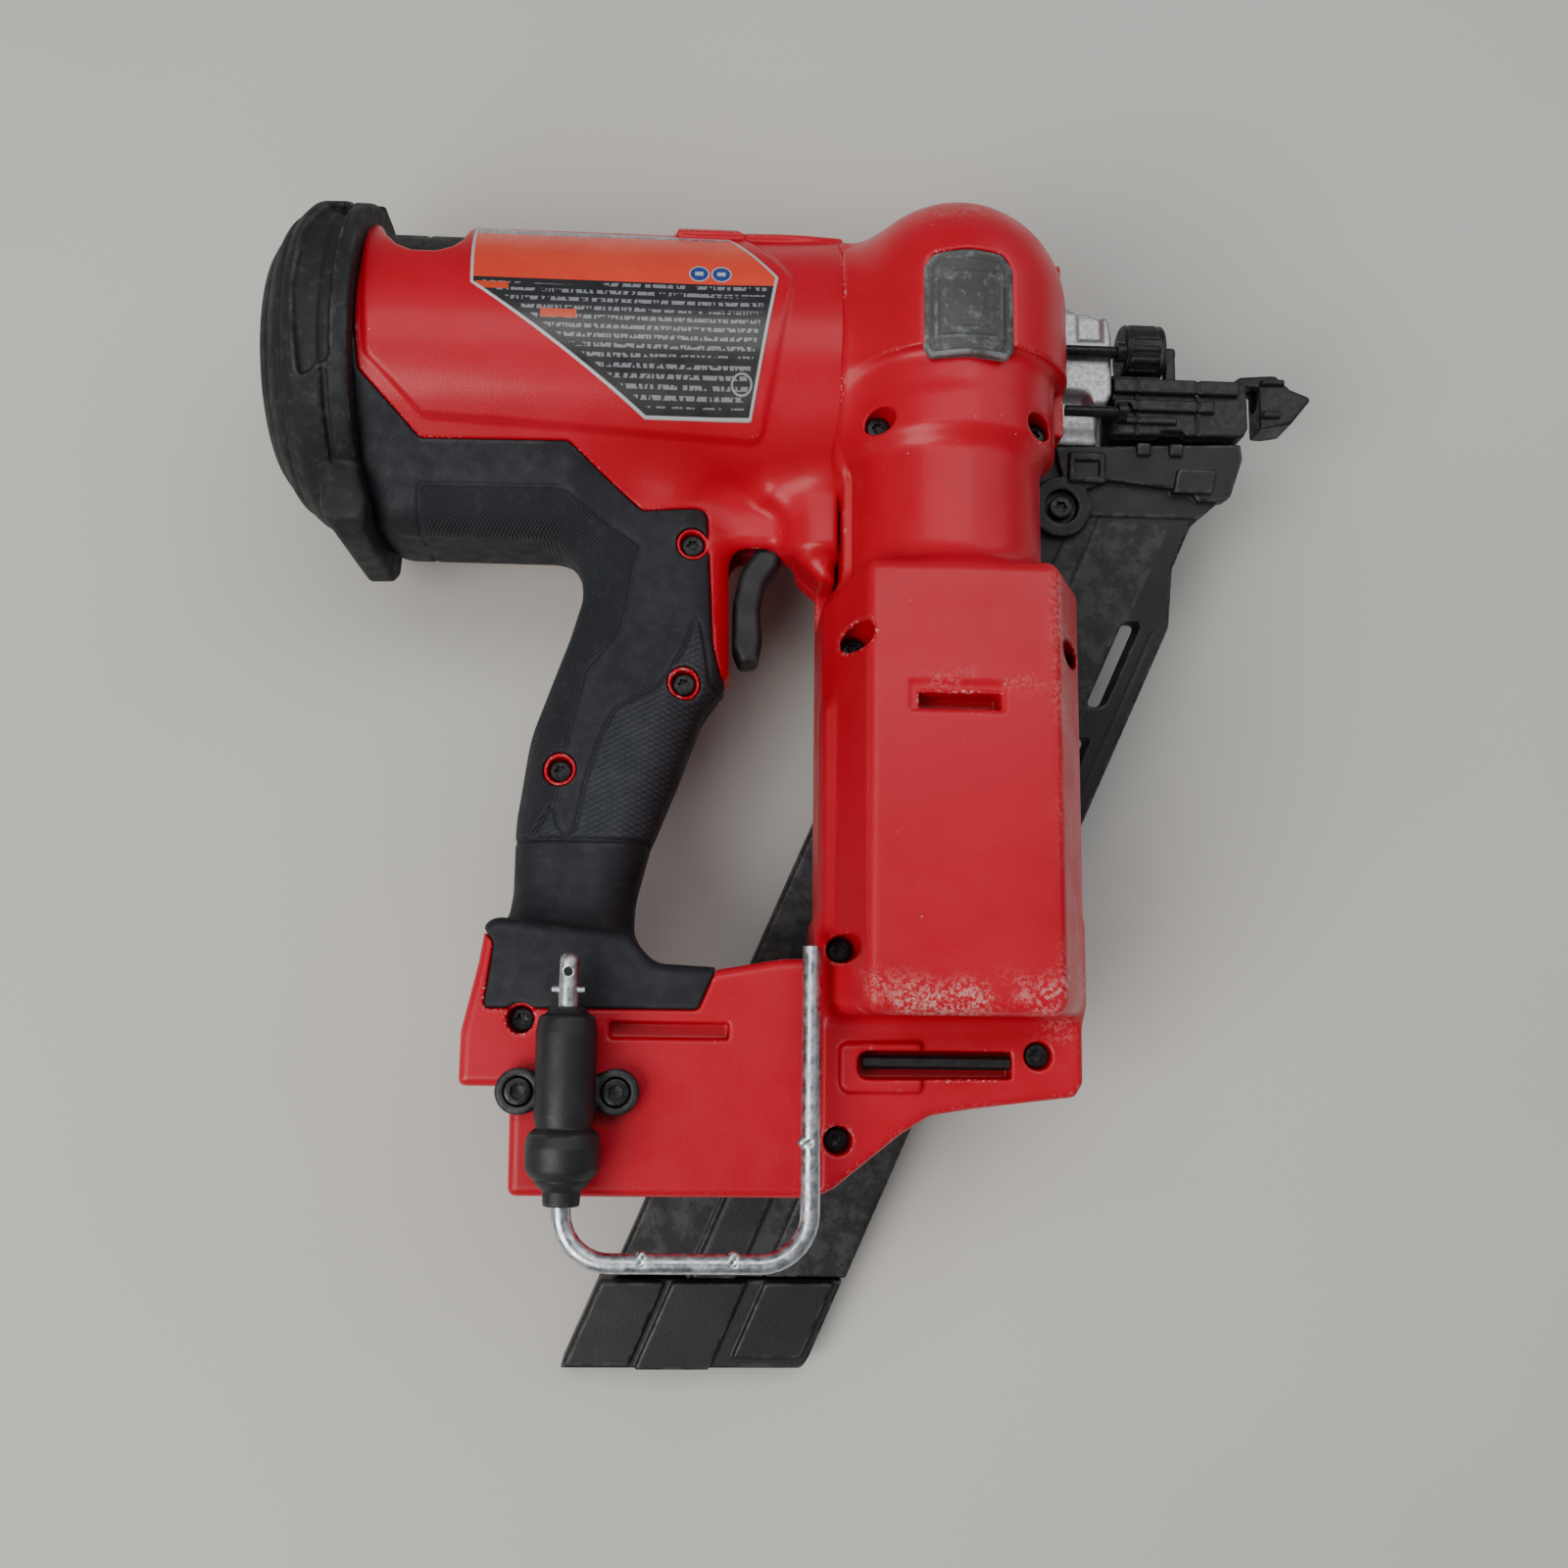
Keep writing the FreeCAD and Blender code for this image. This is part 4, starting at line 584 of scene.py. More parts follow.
def core(p):
    """The outside of the clamshell before its rubber."""
    upper = smin(barrel(p), chin(p), 14)
    upper = smin(upper, handle(p), 13)
    front = smin(flare(p), bridge(p), 5)
    return smin(smin(upper, front, 8), foot(p), 5)


def trigger_slot(p):
    return block(p, (-224, -200), (-111.5, -61), (-8.8, 8.8), 2)


def overmold(p):
    return overmold_plan(p[:, 0], p[:, 1])


def rings(p, grow):
    """The round bosses that come up through the rubber."""
    total = 1e9
    for x, y, z in SHELL_SCREWS[:3]:
        total = np.minimum(total, rod(p, 2, (x, y), z - 10, 40, 5.6 + grow, 0.3))
    return total


def wells(p, spots, radius=4.4):
    total = 1e9
    for x, y, z in spots:
        total = np.minimum(total, rod(p, 2, (x, y), z, 100, radius, 0.3))
    return total


def shell(p, side):
    """One red half of the clamshell."""
    base = core(p)
    x, y, z = p.T
    raised = step(panel_plan(x, y) - 0.8, 2.4) * step(y - 52, 4) * step(-np.abs(z) + 14, 6) * (z * side > 0)
    d = base - 1.1 * raised
    scoop = smax(notch_plan(x, y), np.maximum(-z - 15, z - 49), 2)
    d = smax(d, -scoop, 2.0)
    pocket = np.maximum(overmold(p) - 0.15, -base - 1.8)
    pocket = np.maximum(pocket, -rings(p, 0))
    d = carve(d, pocket, 0.5)
    d = carve(d, trigger_slot(p), 1.0)
    if side > 0:
        boss = smax(rings(p, -0.1), base + 0.1, 0.6)
        d = np.minimum(d, np.maximum(boss, -base - 6))
        d = carve(d, wells(p, SHELL_SCREWS), 0.8)
        slit = block(p, (-249.5, -211.7), (-237.6, -232.4), (33, 45), 0.8)
        d = carve(d, slit, 0.8)
    seam = np.hypot(z, d)
    d = d + groove(seam, 0.5, 0.45)
    return np.maximum(d, -z * side + 0.02)


def rubber_skin(p, side):
    """The soft overmould of the barrel's underside and the handle."""
    base = core(p)
    x, y, z = p.T
    d = smax(base - 0.75, overmold(p) + 0.15, 1.3)
    lines = groove(strap_plan(x, y), 0.65, 0.55) + groove(front_grip_plan(x, y), 0.65, 0.55)
    lines = lines + groove(y + 172.5, 0.6, 0.7) * (x > -292) * (x < -238)
    d = d + lines * (np.abs(z) > 4)
    d = np.maximum(d, -base - 1.6)
    d = carve(d, rings(p, 0.25), 0.5)
    d = carve(d, wells(p, SHELL_SCREWS[3:], 5.2), 0.8)
    d = carve(d, trigger_slot(p), 1.0)
    return np.maximum(d, -z * side + 0.02)


def hatch_mark(p):
    return step(strap_plan(p[:, 0], p[:, 1]) + 0.8, 1.0)


def scale_mark(p):
    return step(front_grip_plan(p[:, 0], p[:, 1]) + 0.8, 1.0) * (p[:, 1] > -171)


NO_MARK = {"scuff": lambda p: np.zeros(len(p))}
for side, name in ((1, "left"), (-1, "right")):
    z_range = (0, 58) if side > 0 else (-58, 0)
    mould(
        f"shell_{name}", lambda p: shell(p, side), (-342, -287, z_range[0]), (-176, 54, z_range[1]), 0.8,
        "red_plastic", [f"housing_{name}"], NO_MARK,
    )
    mould(
        f"overmould_{name}", lambda p: rubber_skin(p, side), (-342, -231, z_range[0]),
        (-203, 16, z_range[1]), 0.62, "black_rubber", [f"grip_{name}", f"barrel_overmold_{name}"],
        {"hatch": hatch_mark, "scale": scale_mark},
    )

# ---------------- rear cap

cap_plan = lathe_plan([
    (-377.3, 0), (-377.3, 23, 6), (-373.2, 41, 6), (-366.4, 51, 5), (-358.5, 57.6, 5), (-349.5, 57.8, 1),
    (-349, 56.4, 0.6), (-347.6, 56.4, 0.6), (-347, 57.4, 1), (-340.5, 57.4, 2), (-340.5, 0),
])
window_plan = Plan([
    (-346.2, 45.5, 2), (-353.5, 45.5, 3), (-357.8, 28, 4), (-359.2, 4, 4), (-357, -27, 3),
    (-346.2, -18.5, 3),
])
lug_plan = Plan([
    (-351.5, -48), (-352.5, -62, 2), (-350.5, -66.5, 2), (-346, -72.3, 2), (-337.5, -71.8, 2),
    (-336.6, -60, 2), (-340.5, -48),
])


def rear_cap(p):
    x, y, z = p.T
    d = turned(p, cap_plan)
    lip = block(p, (-352, -340.6), (-60, -46), (-31, 31), 3)
    lug = smax(rounded(lug_plan(x, y), np.abs(z) - 33, 2.5), (np.abs(z) * 0.62 - y - 87) * 0.85, 2)
    tab = block(p, (-351.5, -340.7), (40, 59.2), (-11.5, 11.5), 1.5)
    d = smin(smin(smin(d, lip, 3), lug, 2.5), tab, 2)
    facet = window_plan(x, y) + 0.4
    sunk = step(facet, 2.6) * (z > 0)
    d = d + 2.6 * sunk
    rim = groove(window_plan(x, y) - 1.6, 0.8, 0.5) * (z > 0)
    ring = groove(x + 363.6, 0.7, 0.5) + groove(x + 369.5, 0.7, 0.4)
    return d + rim + ring * (sunk < 0.5)


mould(
    "rear_cap_rubber", rear_cap, (-378, -78, -58), (-339, 60, 58), 0.8, "black_rubber", ["rear_cap"],
    material=CAP_RUBBER,
)


insert_plan = lathe_plan([(-340.3, 30), (-340.3, 47.3, 1), (-304.5, 47.3, 1), (-304.5, 30)])


def notch_fill(p):
    x, y, z = p.T
    d = smax(turned(p, insert_plan), smax(notch_plan(x, y) - 1, np.maximum(-z - 14, z - 48), 1), 1.5)
    return d + groove(x + 322, 0.8, 0.8) + groove(z - 8, 0.8, 0.8)


mould(
    "barrel_insert", notch_fill, (-344, 18, -16), (-303, 49, 49), 0.5, "black_rubber", material=CAP_RUBBER
)

# ---------------- label

label_plan = Plan([
    (-304.9, 41.2, 1), (-216.4, 38.9, 1), (-199.6, 17.1, 1), (-207.8, -31.6, 1), (-243.9, -31.6, 1),
    (-302.8, 10.7, 1),
], 0.25)
LABEL_RADIUS = 50.75
ROW_PITCH = 0.0031


def label_surface(p):
    r = np.hypot(p[:, 1], p[:, 2])
    d = smax(r - LABEL_RADIUS - 0.9 * step(-(p[:, 0] + 209), 30), label_plan(p[:, 0], p[:, 1]), 0.3)
    return np.maximum(np.maximum(d, LABEL_RADIUS - 1.5 - r), -p[:, 2])


def label_finish():
    n = Nodes("printed_label", Specular_IOR_Level=0.5, Coat_Weight=0.3, Coat_Roughness=0.15)
    split = n.add("ShaderNodeSeparateXYZ")
    n.plug(split.inputs[0], n.place)
    x, y = split.outputs[0], split.outputs[1]
    ox, oy = ORIGIN[0], ORIGIN[1]

    def between(value, low, high):
        return n.times(n.math("GREATER_THAN", value, low), n.math("LESS_THAN", value, high))

    def spot(cx, cy, radius):
        dx, dy = n.math("SUBTRACT", x, ox + cx * MM), n.math("SUBTRACT", y, oy + cy * MM)
        return n.math(
            "LESS_THAN", n.math("SQRT", n.math("ADD", n.times(dx, dx), n.times(dy, dy))), radius * MM
        )

    def bar(x0, x1, y0, y1):
        return n.times(between(x, ox + x0 * MM, ox + x1 * MM), between(y, oy + y0 * MM, oy + y1 * MM))

    grey = (0.30, 0.31, 0.33)
    black = n.mix(n.noise(400, 3), (0.012, 0.012, 0.014), (0.022, 0.022, 0.025))
    rows = n.math("GREATER_THAN", n.math("FRACT", n.times(n.math("SUBTRACT", y, oy), 1 / ROW_PITCH)), 0.55)
    words = n.math("GREATER_THAN", n.noise(900, 0, 0, n.stretch((1, 0.34, 0.01))), 0.46)
    ragged = n.math("GREATER_THAN", n.noise(60, 1, 0.5, n.stretch((0.15, 5.4, 0.01))), 0.36)
    lines = n.times(n.times(rows, words), n.times(ragged, n.math("LESS_THAN", n.mark("rim"), -3.2)))
    colour = n.mix(n.times(lines, 0.75), black, grey)
    for box in ((-301, -290, 8.7, 11.4), (-279, -267, -1.2, 1.8)):
        colour = n.mix(bar(*box), colour, (0.62, 0.06, 0.015))
    band = n.math("GREATER_THAN", y, oy + 13.2 * MM)
    orange = n.mix(n.ramp(n.noise(50, 3), 0.3, 0.7), (0.74, 0.045, 0.018), (0.80, 0.065, 0.025))
    colour = n.mix(band, colour, orange)
    for cx in (-226.5, -219):
        colour = n.mix(spot(cx, 17.8, 3.4), colour, (0.5, 0.52, 0.55))
        colour = n.mix(spot(cx, 17.8, 3.0), colour, (0.02, 0.05, 0.26))
        colour = n.mix(bar(cx - 1.4, cx + 1.4, 17.0, 18.7), colour, (0.45, 0.5, 0.6))
    strip = n.math("GREATER_THAN", y, oy + 36.4 * MM)
    colour = n.mix(strip, colour, n.mix(n.times(words, 0.6), (0.34, 0.35, 0.37), (0.08, 0.08, 0.09)))
    ring = n.math("SUBTRACT", spot(-211.5, -21, 3.6), spot(-211.5, -21, 2.9))
    colour = n.mix(ring, colour, grey)
    border = n.math("GREATER_THAN", n.mark("rim"), -1.1)
    colour = n.mix(border, colour, (0.5, 0.5, 0.52))
    return n.finish(colour, n.ramp(n.noise(120, 3), 0.3, 0.7, 0.25, 0.4), n.noise(500, 2), 0.0001, 0.15)


mould(
    "rating_label", label_surface, (-306, -33, 20), (-198, 43, 55), 0.45, "printed_label", ["label"],
    {"rim": lambda p: label_plan(p[:, 0], p[:, 1])}, material=label_finish(),
)

# ---------------- gearbox tower and motor cover

LIFT_X, LIFT_Z, TOWER_RADIUS = -137.5, 32.0, 38.8
section_plan = Plan([
    (-183, -12), (-183, 37, 3), (-179.5, 47, 6), (-170.5, 70.8, 4.5), (-111, 70.8, 4.5), (-98.2, 42, 6),
    (-98.1, -12),
])
skirt_plan = Plan([
    (-182.9, -200), (-182.9, -285.6, 1), (-178, -283.2, 3), (-157, -266.5, 8), (-147.5, -260.6, 6),
    (-134, -258.4, 4), (-101, -254.4, 3), (-98.3, -250, 3), (-98.1, -200),
])
COVER_SCREWS = [
    (-177.0, -268.5, 30.0), (-113.0, -241.5, 34.0), (-176.8, -209.0, 35.0), (-173.5, -111.0, 41.0),
    (-104.0, -113.0, 37.0), (-165.8, -36.0, 46.0), (-113.0, -36.0, 44.0),
]


def dome(p):
    return ball(p, (LIFT_X, 12, LIFT_Z), TOWER_RADIUS)


def cover(p):
    x, y, z = p.T
    upper = np.minimum(
        rod(p, 1, (LIFT_X, LIFT_Z), -14, 12, TOWER_RADIUS, 0.1), np.where(y > 0, dome(p), 1e3)
    )
    upper = smin(upper, rod(p, 1, (-139.2, LIFT_Z - 1), -42, 5, 36.0, 3), 5)
    neck = rod(p, 1, (-140.6, LIFT_Z), -100, -30, 32.0, 1)
    root = block(p, (-176.1, -99.2), (-30, 34), (-20, 33), 1)
    low_root = block(p, (-175.9, -109.2), (-100, -20), (-20, 33), 1)
    shape = smin(smin(upper, root, 0.6), smin(neck, low_root, 0.6), 7)
    motor = rounded(
        section_plan(x, z), np.maximum(y + 86.5 + np.maximum(0, -171 - x) * 0.35, -y - 229.5), 5.5
    )
    shape = smin(shape, motor, 9)
    skirt = plate(p, skirt_plan, -10, 39.4, 2.6)
    shape = smin(shape, skirt, 6)
    surround = plate(p, surround_plan, 30, 41.6, 1.2)
    shape = smin(shape, surround, 1.0)
    collar = smax(turned(p, collar_plan), np.maximum(-y - 58, -z), 2)
    shape = smin(shape, collar, 12)
    bump = block(p, (-182.5, -175), (-205, -128), (20, 46), 4)
    shape = smin(shape, bump, 4)
    slot_dent = block(p, (-158.2, -128.2), (-136.5, -127.2), (70.1, 90), 0.8)
    shape = carve(shape, slot_dent, 0.8)
    shape = carve(shape, block(p, (-155.2, -129.6), (-135.6, -130.6), (60, 90), 0.5), 0.8)
    shape = carve(shape, plate(p, key_plan, 32.5, 60, 0.5), 0.8)
    shape = carve(shape, wells(p, COVER_SCREWS, 4.5), 0.9)
    shape = carve(shape, pad_region(p, 0.35, 67.6), 0.6)
    shape = np.maximum(shape, 0.4 - z)
    return carve(shape, turned(p, barrel_front_room), 0.5)


surround_plan = Plan([(-176.8, -238.2, 3), (-150.4, -237.6, 2), (-150.4, -253.4, 2), (-176.8, -253.6, 4)])
key_plan = Plan([(-171, -240.4, 4), (-121.6, -240.4, 1), (-121.6, -248.9, 1), (-171, -249.4, 4)])
pad_plan = Plan([
    (-153.4, 12.5, 4), (-150, 17, 4), (-138.5, 18.2, 20), (-127, 17, 4), (-123.6, 12.5, 4),
    (-123.6, -15.5, 3), (-126, -19.2, 2), (-138.5, -18, 20), (-151, -19.2, 2), (-153.4, -15.5, 3),
])
collar_plan = lathe_plan([
    (SEAM_X + 0.1, 0), (SEAM_X + 0.1, 50.2, 0.6), (-160, 49, 8), (-140, 44, 8), (-130, 36), (-130, 0)
])
barrel_front_room = lathe_plan([(-200, 0), (-200, 50), (SEAM_X + 0.15, 50), (SEAM_X + 0.15, 0)])


def pad_region(p, grow, floor_level):
    return np.maximum(pad_plan(p[:, 0], p[:, 1]) - grow, floor_level - p[:, 2])


def side_pad(p):
    x, y, z = p.T
    top = np.hypot(x - LIFT_X, z - LIFT_Z) - 39.0
    edge = pad_plan(x, y)
    d = smax(np.maximum(top, z - 70.95), edge, 1.6)
    inner = np.maximum(np.abs(x + 138.5) - 9.8, np.abs(y + 0.5) - 11.0)
    d = d + 0.7 * step(inner, 1.2) + 0.5 * step(inner + 3, 1.0) + groove(edge + 2.6, 0.6, 0.5)
    lip = np.maximum(np.abs(x + 138.5) - 12.5, np.abs(y + 15.2) - 1.8)
    d = d + 0.6 * step(lip, 1.0)
    return np.maximum(d, 66.5 - z)


def cover_scuff(p):
    x, y, z = p.T
    bottom = np.exp(-(((y + 226) / 7) ** 2)) * (z > 60)
    corner = np.exp(-(((y + 222) / 12) ** 2)) * np.exp(-(((x + 103) / 8) ** 2))
    top_dome = np.exp(-(((y - 42) / 7) ** 2)) * 0.7
    slot = np.exp(-(((y + 127) / 3) ** 2)) * np.exp(-(((x + 138) / 16) ** 2)) * 0.7 * (z > 60)
    side = np.exp(-(((x + 109) / 3.5) ** 2)) * np.exp(-(((y + 115) / 60) ** 2)) * 0.75
    return np.clip(0.62 * (bottom + corner + top_dome + slot + side), 0, 0.8)


mould(
    "motor_cover_shell", cover, (-184, -287, 0), (-97, 51.5, 72), 0.8, "red_plastic",
    ["motor_cover", "gearbox_case"], {"scuff": cover_scuff},
)
mould("left_side_pad", side_pad, (-155, -20, 66), (-122, 19, 72), 0.45, "worn_rubber", ["side_bumper_left"])

front_case_plan = lathe_plan([
    (SEAM_X + 0.1, 0), (SEAM_X + 0.1, 46.2, 1), (-150, 46.2, 8), (-104, 44.4, 6), (-98.2, 41, 2), (-98.2, 0)
])


def front_case(p):
    y, z = p[:, 1], p[:, 2]
    d = turned(p, front_case_plan)
    d = smax(d, -y - 24.5, 2)
    d = np.maximum(d, z)
    return carve(d, block(p, (-150.6, -111.6), (-16.5, 20.5), (-60, -41.5), 1), 0.5)


def right_pad(p):
    x, y, z = p.T
    d = block(p, (-150, -112), (-16, 20), (-57.8, -38), 3)
    inner = np.maximum(np.abs(x + 131) - 13.5, np.abs(y - 2) - 12.5)
    return smax(d + groove(inner, 0.7, 0.7), 39 - np.hypot(y, z), 0.5)


mould(
    "front_case_shell", front_case, (-178, -26, -48), (-97, 48, 0), 0.8, "red_plastic", ["front_case"],
    NO_MARK,
)
mould(
    "right_side_pad", right_pad, (-151, -17, -58.2), (-111, 21, -36), 0.6, "worn_rubber",
    ["side_bumper_right"],
)

back_plan = Plan([
    (-182.8, -66.4, 2), (-182.9, -285.6, 1), (-178, -283.2, 3), (-157, -266.5, 8), (-147.5, -260.6, 6),
    (-101, -254.4, 3), (-98.3, -250, 3), (-98.2, -66.4, 2),
])


def back_plate(p):
    x, y, z = p.T
    d = plate(p, back_plan, -2.6, 0.2, 0.9)
    rib_line = np.minimum(np.abs(back_plan(x, y) + 6), np.abs(y + 150 + 0.4245 * (x + 140)))
    slots = np.maximum(
        np.abs(((y + 200) % 7.0) - 3.5) - 1.2, np.maximum(np.abs(x + 112) - 8, np.abs(y + 200) - 21)
    )
    d = carve(d, np.maximum(slots, z + 1.2), 0.5)
    return d + groove(rib_line, 0.7, 0.5)


mould(
    "motor_case_plate", back_plate, (-184, -287, -3), (-97, -65, 0.5), 0.6, "red_plastic", ["motor_case"],
    NO_MARK,
)

# ---------------- trigger and hex key

trigger_plan = Plan([
    (-198.5, -62.5, 2.5), (-194.6, -65, 2.5), (-196.5, -71.5, 2), (-201.2, -78, 8), (-202.8, -88, 10),
    (-201.9, -99, 6), (-203.2, -106.4, 2.5), (-209.6, -107.4, 3), (-212.3, -101, 8), (-212.4, -85, 8),
    (-209.8, -73, 8), (-204, -64.5, 4),
], 0.3)


def trigger(p):
    d = rounded(trigger_plan(p[:, 0], p[:, 1]), np.abs(p[:, 2]) - 7.9, 2.6)
    return d + groove(p[:, 2], 0.5, 0.3)


mould(
    "trigger_lever", trigger, (-214, -109, -8.5), (-193, -61, 8.5), 0.5, "black_plastic", ["trigger"],
    body="trigger",
)

# ---------------- strip magazine

CANT, SLOPE = 8.3, 0.4245
WINDOWS = 3
NAIL_ROOM = 4.2
CHANNEL = (-NAIL_ROOM, NAIL_ROOM)
MAGAZINE_SCREW = (-93.3, -43.4)


def slanted(station, height, *radius):
    return (station + SLOPE * height, height, *radius)


magazine_plan = Plan([
    slanted(-112.9, -24, 1), slanted(-24, -24, 1), (-34.5, -40, 1), (-44, -48.5, 3), (-50.6, -64.5, 5),
    (-51.6, -86, 3), slanted(-15.1, -160, 3), slanted(-15.1, -213, 3), slanted(-28.8, -236, 4),
    slanted(-28.8, -324.8, 0.5), slanted(-112.9, -324.8, 0.5),
])
bracket_plan = Plan([
    (-96, -21.5, 1), (-27, -18.5, 1), (-26.2, -24, 1), (-30.4, -37.6, 1), (-32, -39.4, 1),
    (-42.5, -39.9, 1), (-45.5, -36.4, 1), (-76, -33.2, 1), (-84, -37, 1), (-92, -36.5, 1),
], 0.25)


def station(p):
    return p[:, 0] - SLOPE * p[:, 1]


def strip(p, s, y, z, r=0.5):
    """A slanted bar of the magazine between two stations and two heights."""
    across = (np.abs(station(p) - (s[0] + s[1]) / 2) - (s[1] - s[0]) / 2) * 0.92
    along = np.abs(p[:, 1] - (y[0] + y[1]) / 2) - (y[1] - y[0]) / 2
    return rounded(rounded(across, along, r), np.abs(p[:, 2] - (z[0] + z[1]) / 2) - (z[1] - z[0]) / 2, r)


def magazine(p):
    q = canted(p, CANT)
    x, y, z = q.T
    s = station(q)
    d = rounded(magazine_plan(x, y), np.abs(z) - 6.4, 0.9)
    bare = np.abs(z) > 4.6
    low = y < -46
    band = (step(s + 86.5, 1.4) * 0.9 + step(-(s + 68.5), 1.4) * 0.7) * bare * low
    d = d + band + (groove(s + 84.2, 0.5, 0.5) + groove(s + 58.4, 0.45, 0.45)) * bare * low
    d = d + groove(s + 20.5, 0.5, 0.35) * bare * (y < -88) * (y > -215)
    bracket = rounded(bracket_plan(x, y), np.abs(z - 5.2) - 4.2, 0.7)
    clip = np.maximum(
        rounded(np.abs(x + 44.5 - 0.2 * (y + 33)) - 7.0, np.abs(y + 33.0) - 4.3, 0.6), np.abs(z - 7) - 4.6
    )
    lever = block(q, (-91, -77.5), (-34.5, -23.5), (0, 11.2), 0.8)
    lever = carve(lever, block(q, (-88.8, -79.8), (-32.2, -26.4), (9.6, 14), 0.4), 0.4)
    ridge = np.minimum(
        block(q, (-66, -61), (-24, -19.5), (6, 11.5), 0.8),
        block(q, (-54, -49), (-24, -19.5), (6, 11.5), 0.8),
    )
    d = smin(d, smin(smin(bracket, clip, 0.4), smin(lever, ridge, 0.3), 0.4), 0.4)
    boss = rod(q, 2, MAGAZINE_SCREW, 4, 10, 11, 0.6)
    d = smin(d, boss, 0.8)
    d = carve(d, rod(q, 2, MAGAZINE_SCREW, 6.2, 30, 6.2, 0.3), 0.6)
    channel = strip(q, (-111, -31.5), (-400, -25), CHANNEL, 0.3)
    d = carve(d, channel, 0.4)
    for index in range(WINDOWS):
        top = -84.5 - 43 * index
        d = carve(d, strip(q, (-33.0, -26.0), (top - 31.5, top), (-20, 20), 2.4), 0.8)
    return carve(d, strip(q, (-82, -68), (-312, -48), (-9, 0), 0.3), 0.5)


def end_cap(p):
    q = canted(p, CANT)
    x, y = q[:, 0], q[:, 1]
    d = strip(q, (-117, -29.8), (-356.6, -325.2), (-6.4, 6.4), 0.8)
    corner = 0.72 * (x + 178.5) - 0.69 * (y + 352.5)
    panels = strip(q, (-116, -93.4), (-355.2, -325.6), (4, 8.3), 0.9)
    panels = smin(panels, strip(q, (-90.6, -64), (-356.6, -325.6), (4, 8.5), 0.9), 0.4)
    panels = smin(panels, strip(q, (-57.6, -33), (-352.4, -325.6), (4, 8.3), 0.9), 0.4)
    d = smax(smin(d, panels, 0.5), corner, 1.0)
    return carve(d, strip(q, (-111, -34), (-400, -320), CHANNEL, 0.3), 0.5)


mould(
    "strip_magazine", magazine, (-256, -322, -60), (-20, -10, 14), 0.62, "black_plastic", ["magazine_body"]
)
mould(
    "magazine_foot", end_cap, (-270, -356, -64), (-160, -312, -36), 0.55, "black_plastic",
    ["magazine_end_cap"],
)

# ---------------- nose

STEM = (17.3, 0)

block_plan = Plan([
    (-98, 27, 1), (-82, 27.4, 2), (-77, 24.5, 2), (-75.9, 18, 2), (-76.2, -4.5, 1.5), (-78.5, -9, 2),
    (-83.5, -9, 2), (-85.5, -4.5, 2), (-98, -4, 1),
], 0.3)


def blade_room(p):
    """The passage of the driver blade with the teeth on its left edge."""
    return np.minimum(
        block(p, (-110, -20), (-2.6, 2.6), (-4.3, 10.2), 0.3), rod(p, 0, (0, 0), -110, -20, NAIL_ROOM, 0.1)
    )


def nose_casting(p):
    x, y, z = p.T
    d = rounded(block_plan(x, y), np.abs(z + 1) - 14.5, 2)
    d = smin(d, block(p, (-97.9, -80), (-21.8, 32), (-19.6, 6), 2), 3)
    d = smin(d, block(p, (-97.9, -75.8), (-21.5, 8), (-9.5, 4), 1.5), 2)
    d = d + 1.6 * step(np.maximum(np.abs(x + 84) - 4.5, 15.8 - y), 2.5) * (z > 0)
    d = carve(d, rod(p, 0, STEM, -100, -70, 2.6, 0.2), 0.3)
    d = carve(d, blade_room(p), 0.3)
    return carve(d, strip(p, (-110, -30), (-30, -6), CHANNEL, 0.3), 0.4)


guide_plan = Plan([
    (-75.3, 4.4, 0.8), (-58, 4.4, 0.6), (-56.5, 2.8, 0.6), (-25.2, 2.8, 0.8), (-25.2, -14.5, 1),
    (-27, -18.0, 1), (-48, -18.2, 0.6), (-49.5, -16.6, 0.6), (-57, -16.6, 0.6), (-58.5, -18.2, 0.6),
    (-75.3, -18.6, 0.8),
], 0.25)


def nosepiece(p):
    x, y, z = p.T
    d = rounded(guide_plan(x, y), np.abs(z - 1) - 8.6, 0.7)
    rail = smin(
        block(p, (-75.2, -28.8), (-3.2, 2.3), (6, 12.3), 0.7),
        block(p, (-75.2, -38), (-9.9, -5.4), (6, 11.8), 0.7), 0.3,
    )
    rail = smin(rail, block(p, (-75.2, -52), (-14.6, -12), (6, 11.4), 0.6), 0.3)
    d = smin(d, rail, 0.5)
    d = d + groove(x + 66.5, 0.6, 0.5) * (z > 9) + groove(x + 44.0, 0.6, 0.5) * (z > 9)
    d = carve(d, rod(p, 2, (-70.5, -9), 10, 14, 2.0, 0.2), 0.3)
    d = carve(d, smax(blade_room(p), x + 29.5, 0.2), 0.3)
    d = carve(d, rod(p, 0, (0, 0), -80, -20, NAIL_ROOM, 0.1), 0.3)
    return carve(d, strip(p, (-110, -24.5), (-30, 0), CHANNEL, 0.3), 0.4)


arm_plan = Plan([
    (-53.3, 11.4, 0.6), (-50.5, 11.0, 1), (-37, 6.4, 3), (-27.3, 6.6, 1), (-25.2, 8.0, 1), (-13, 7.2, 1.2),
    (-7.9, 2.2, 1), (-0.9, -0.6, 0.5), (-0.5, -2.0, 0.4), (-8.1, -11.4, 1), (-14.5, -12.6, 1),
    (-19.2, -13.0, 0.8), (-19.2, 3.6, 0.8), (-24.4, 3.8, 0.8), (-53.3, 5.2, 0.6),
], 0.25)


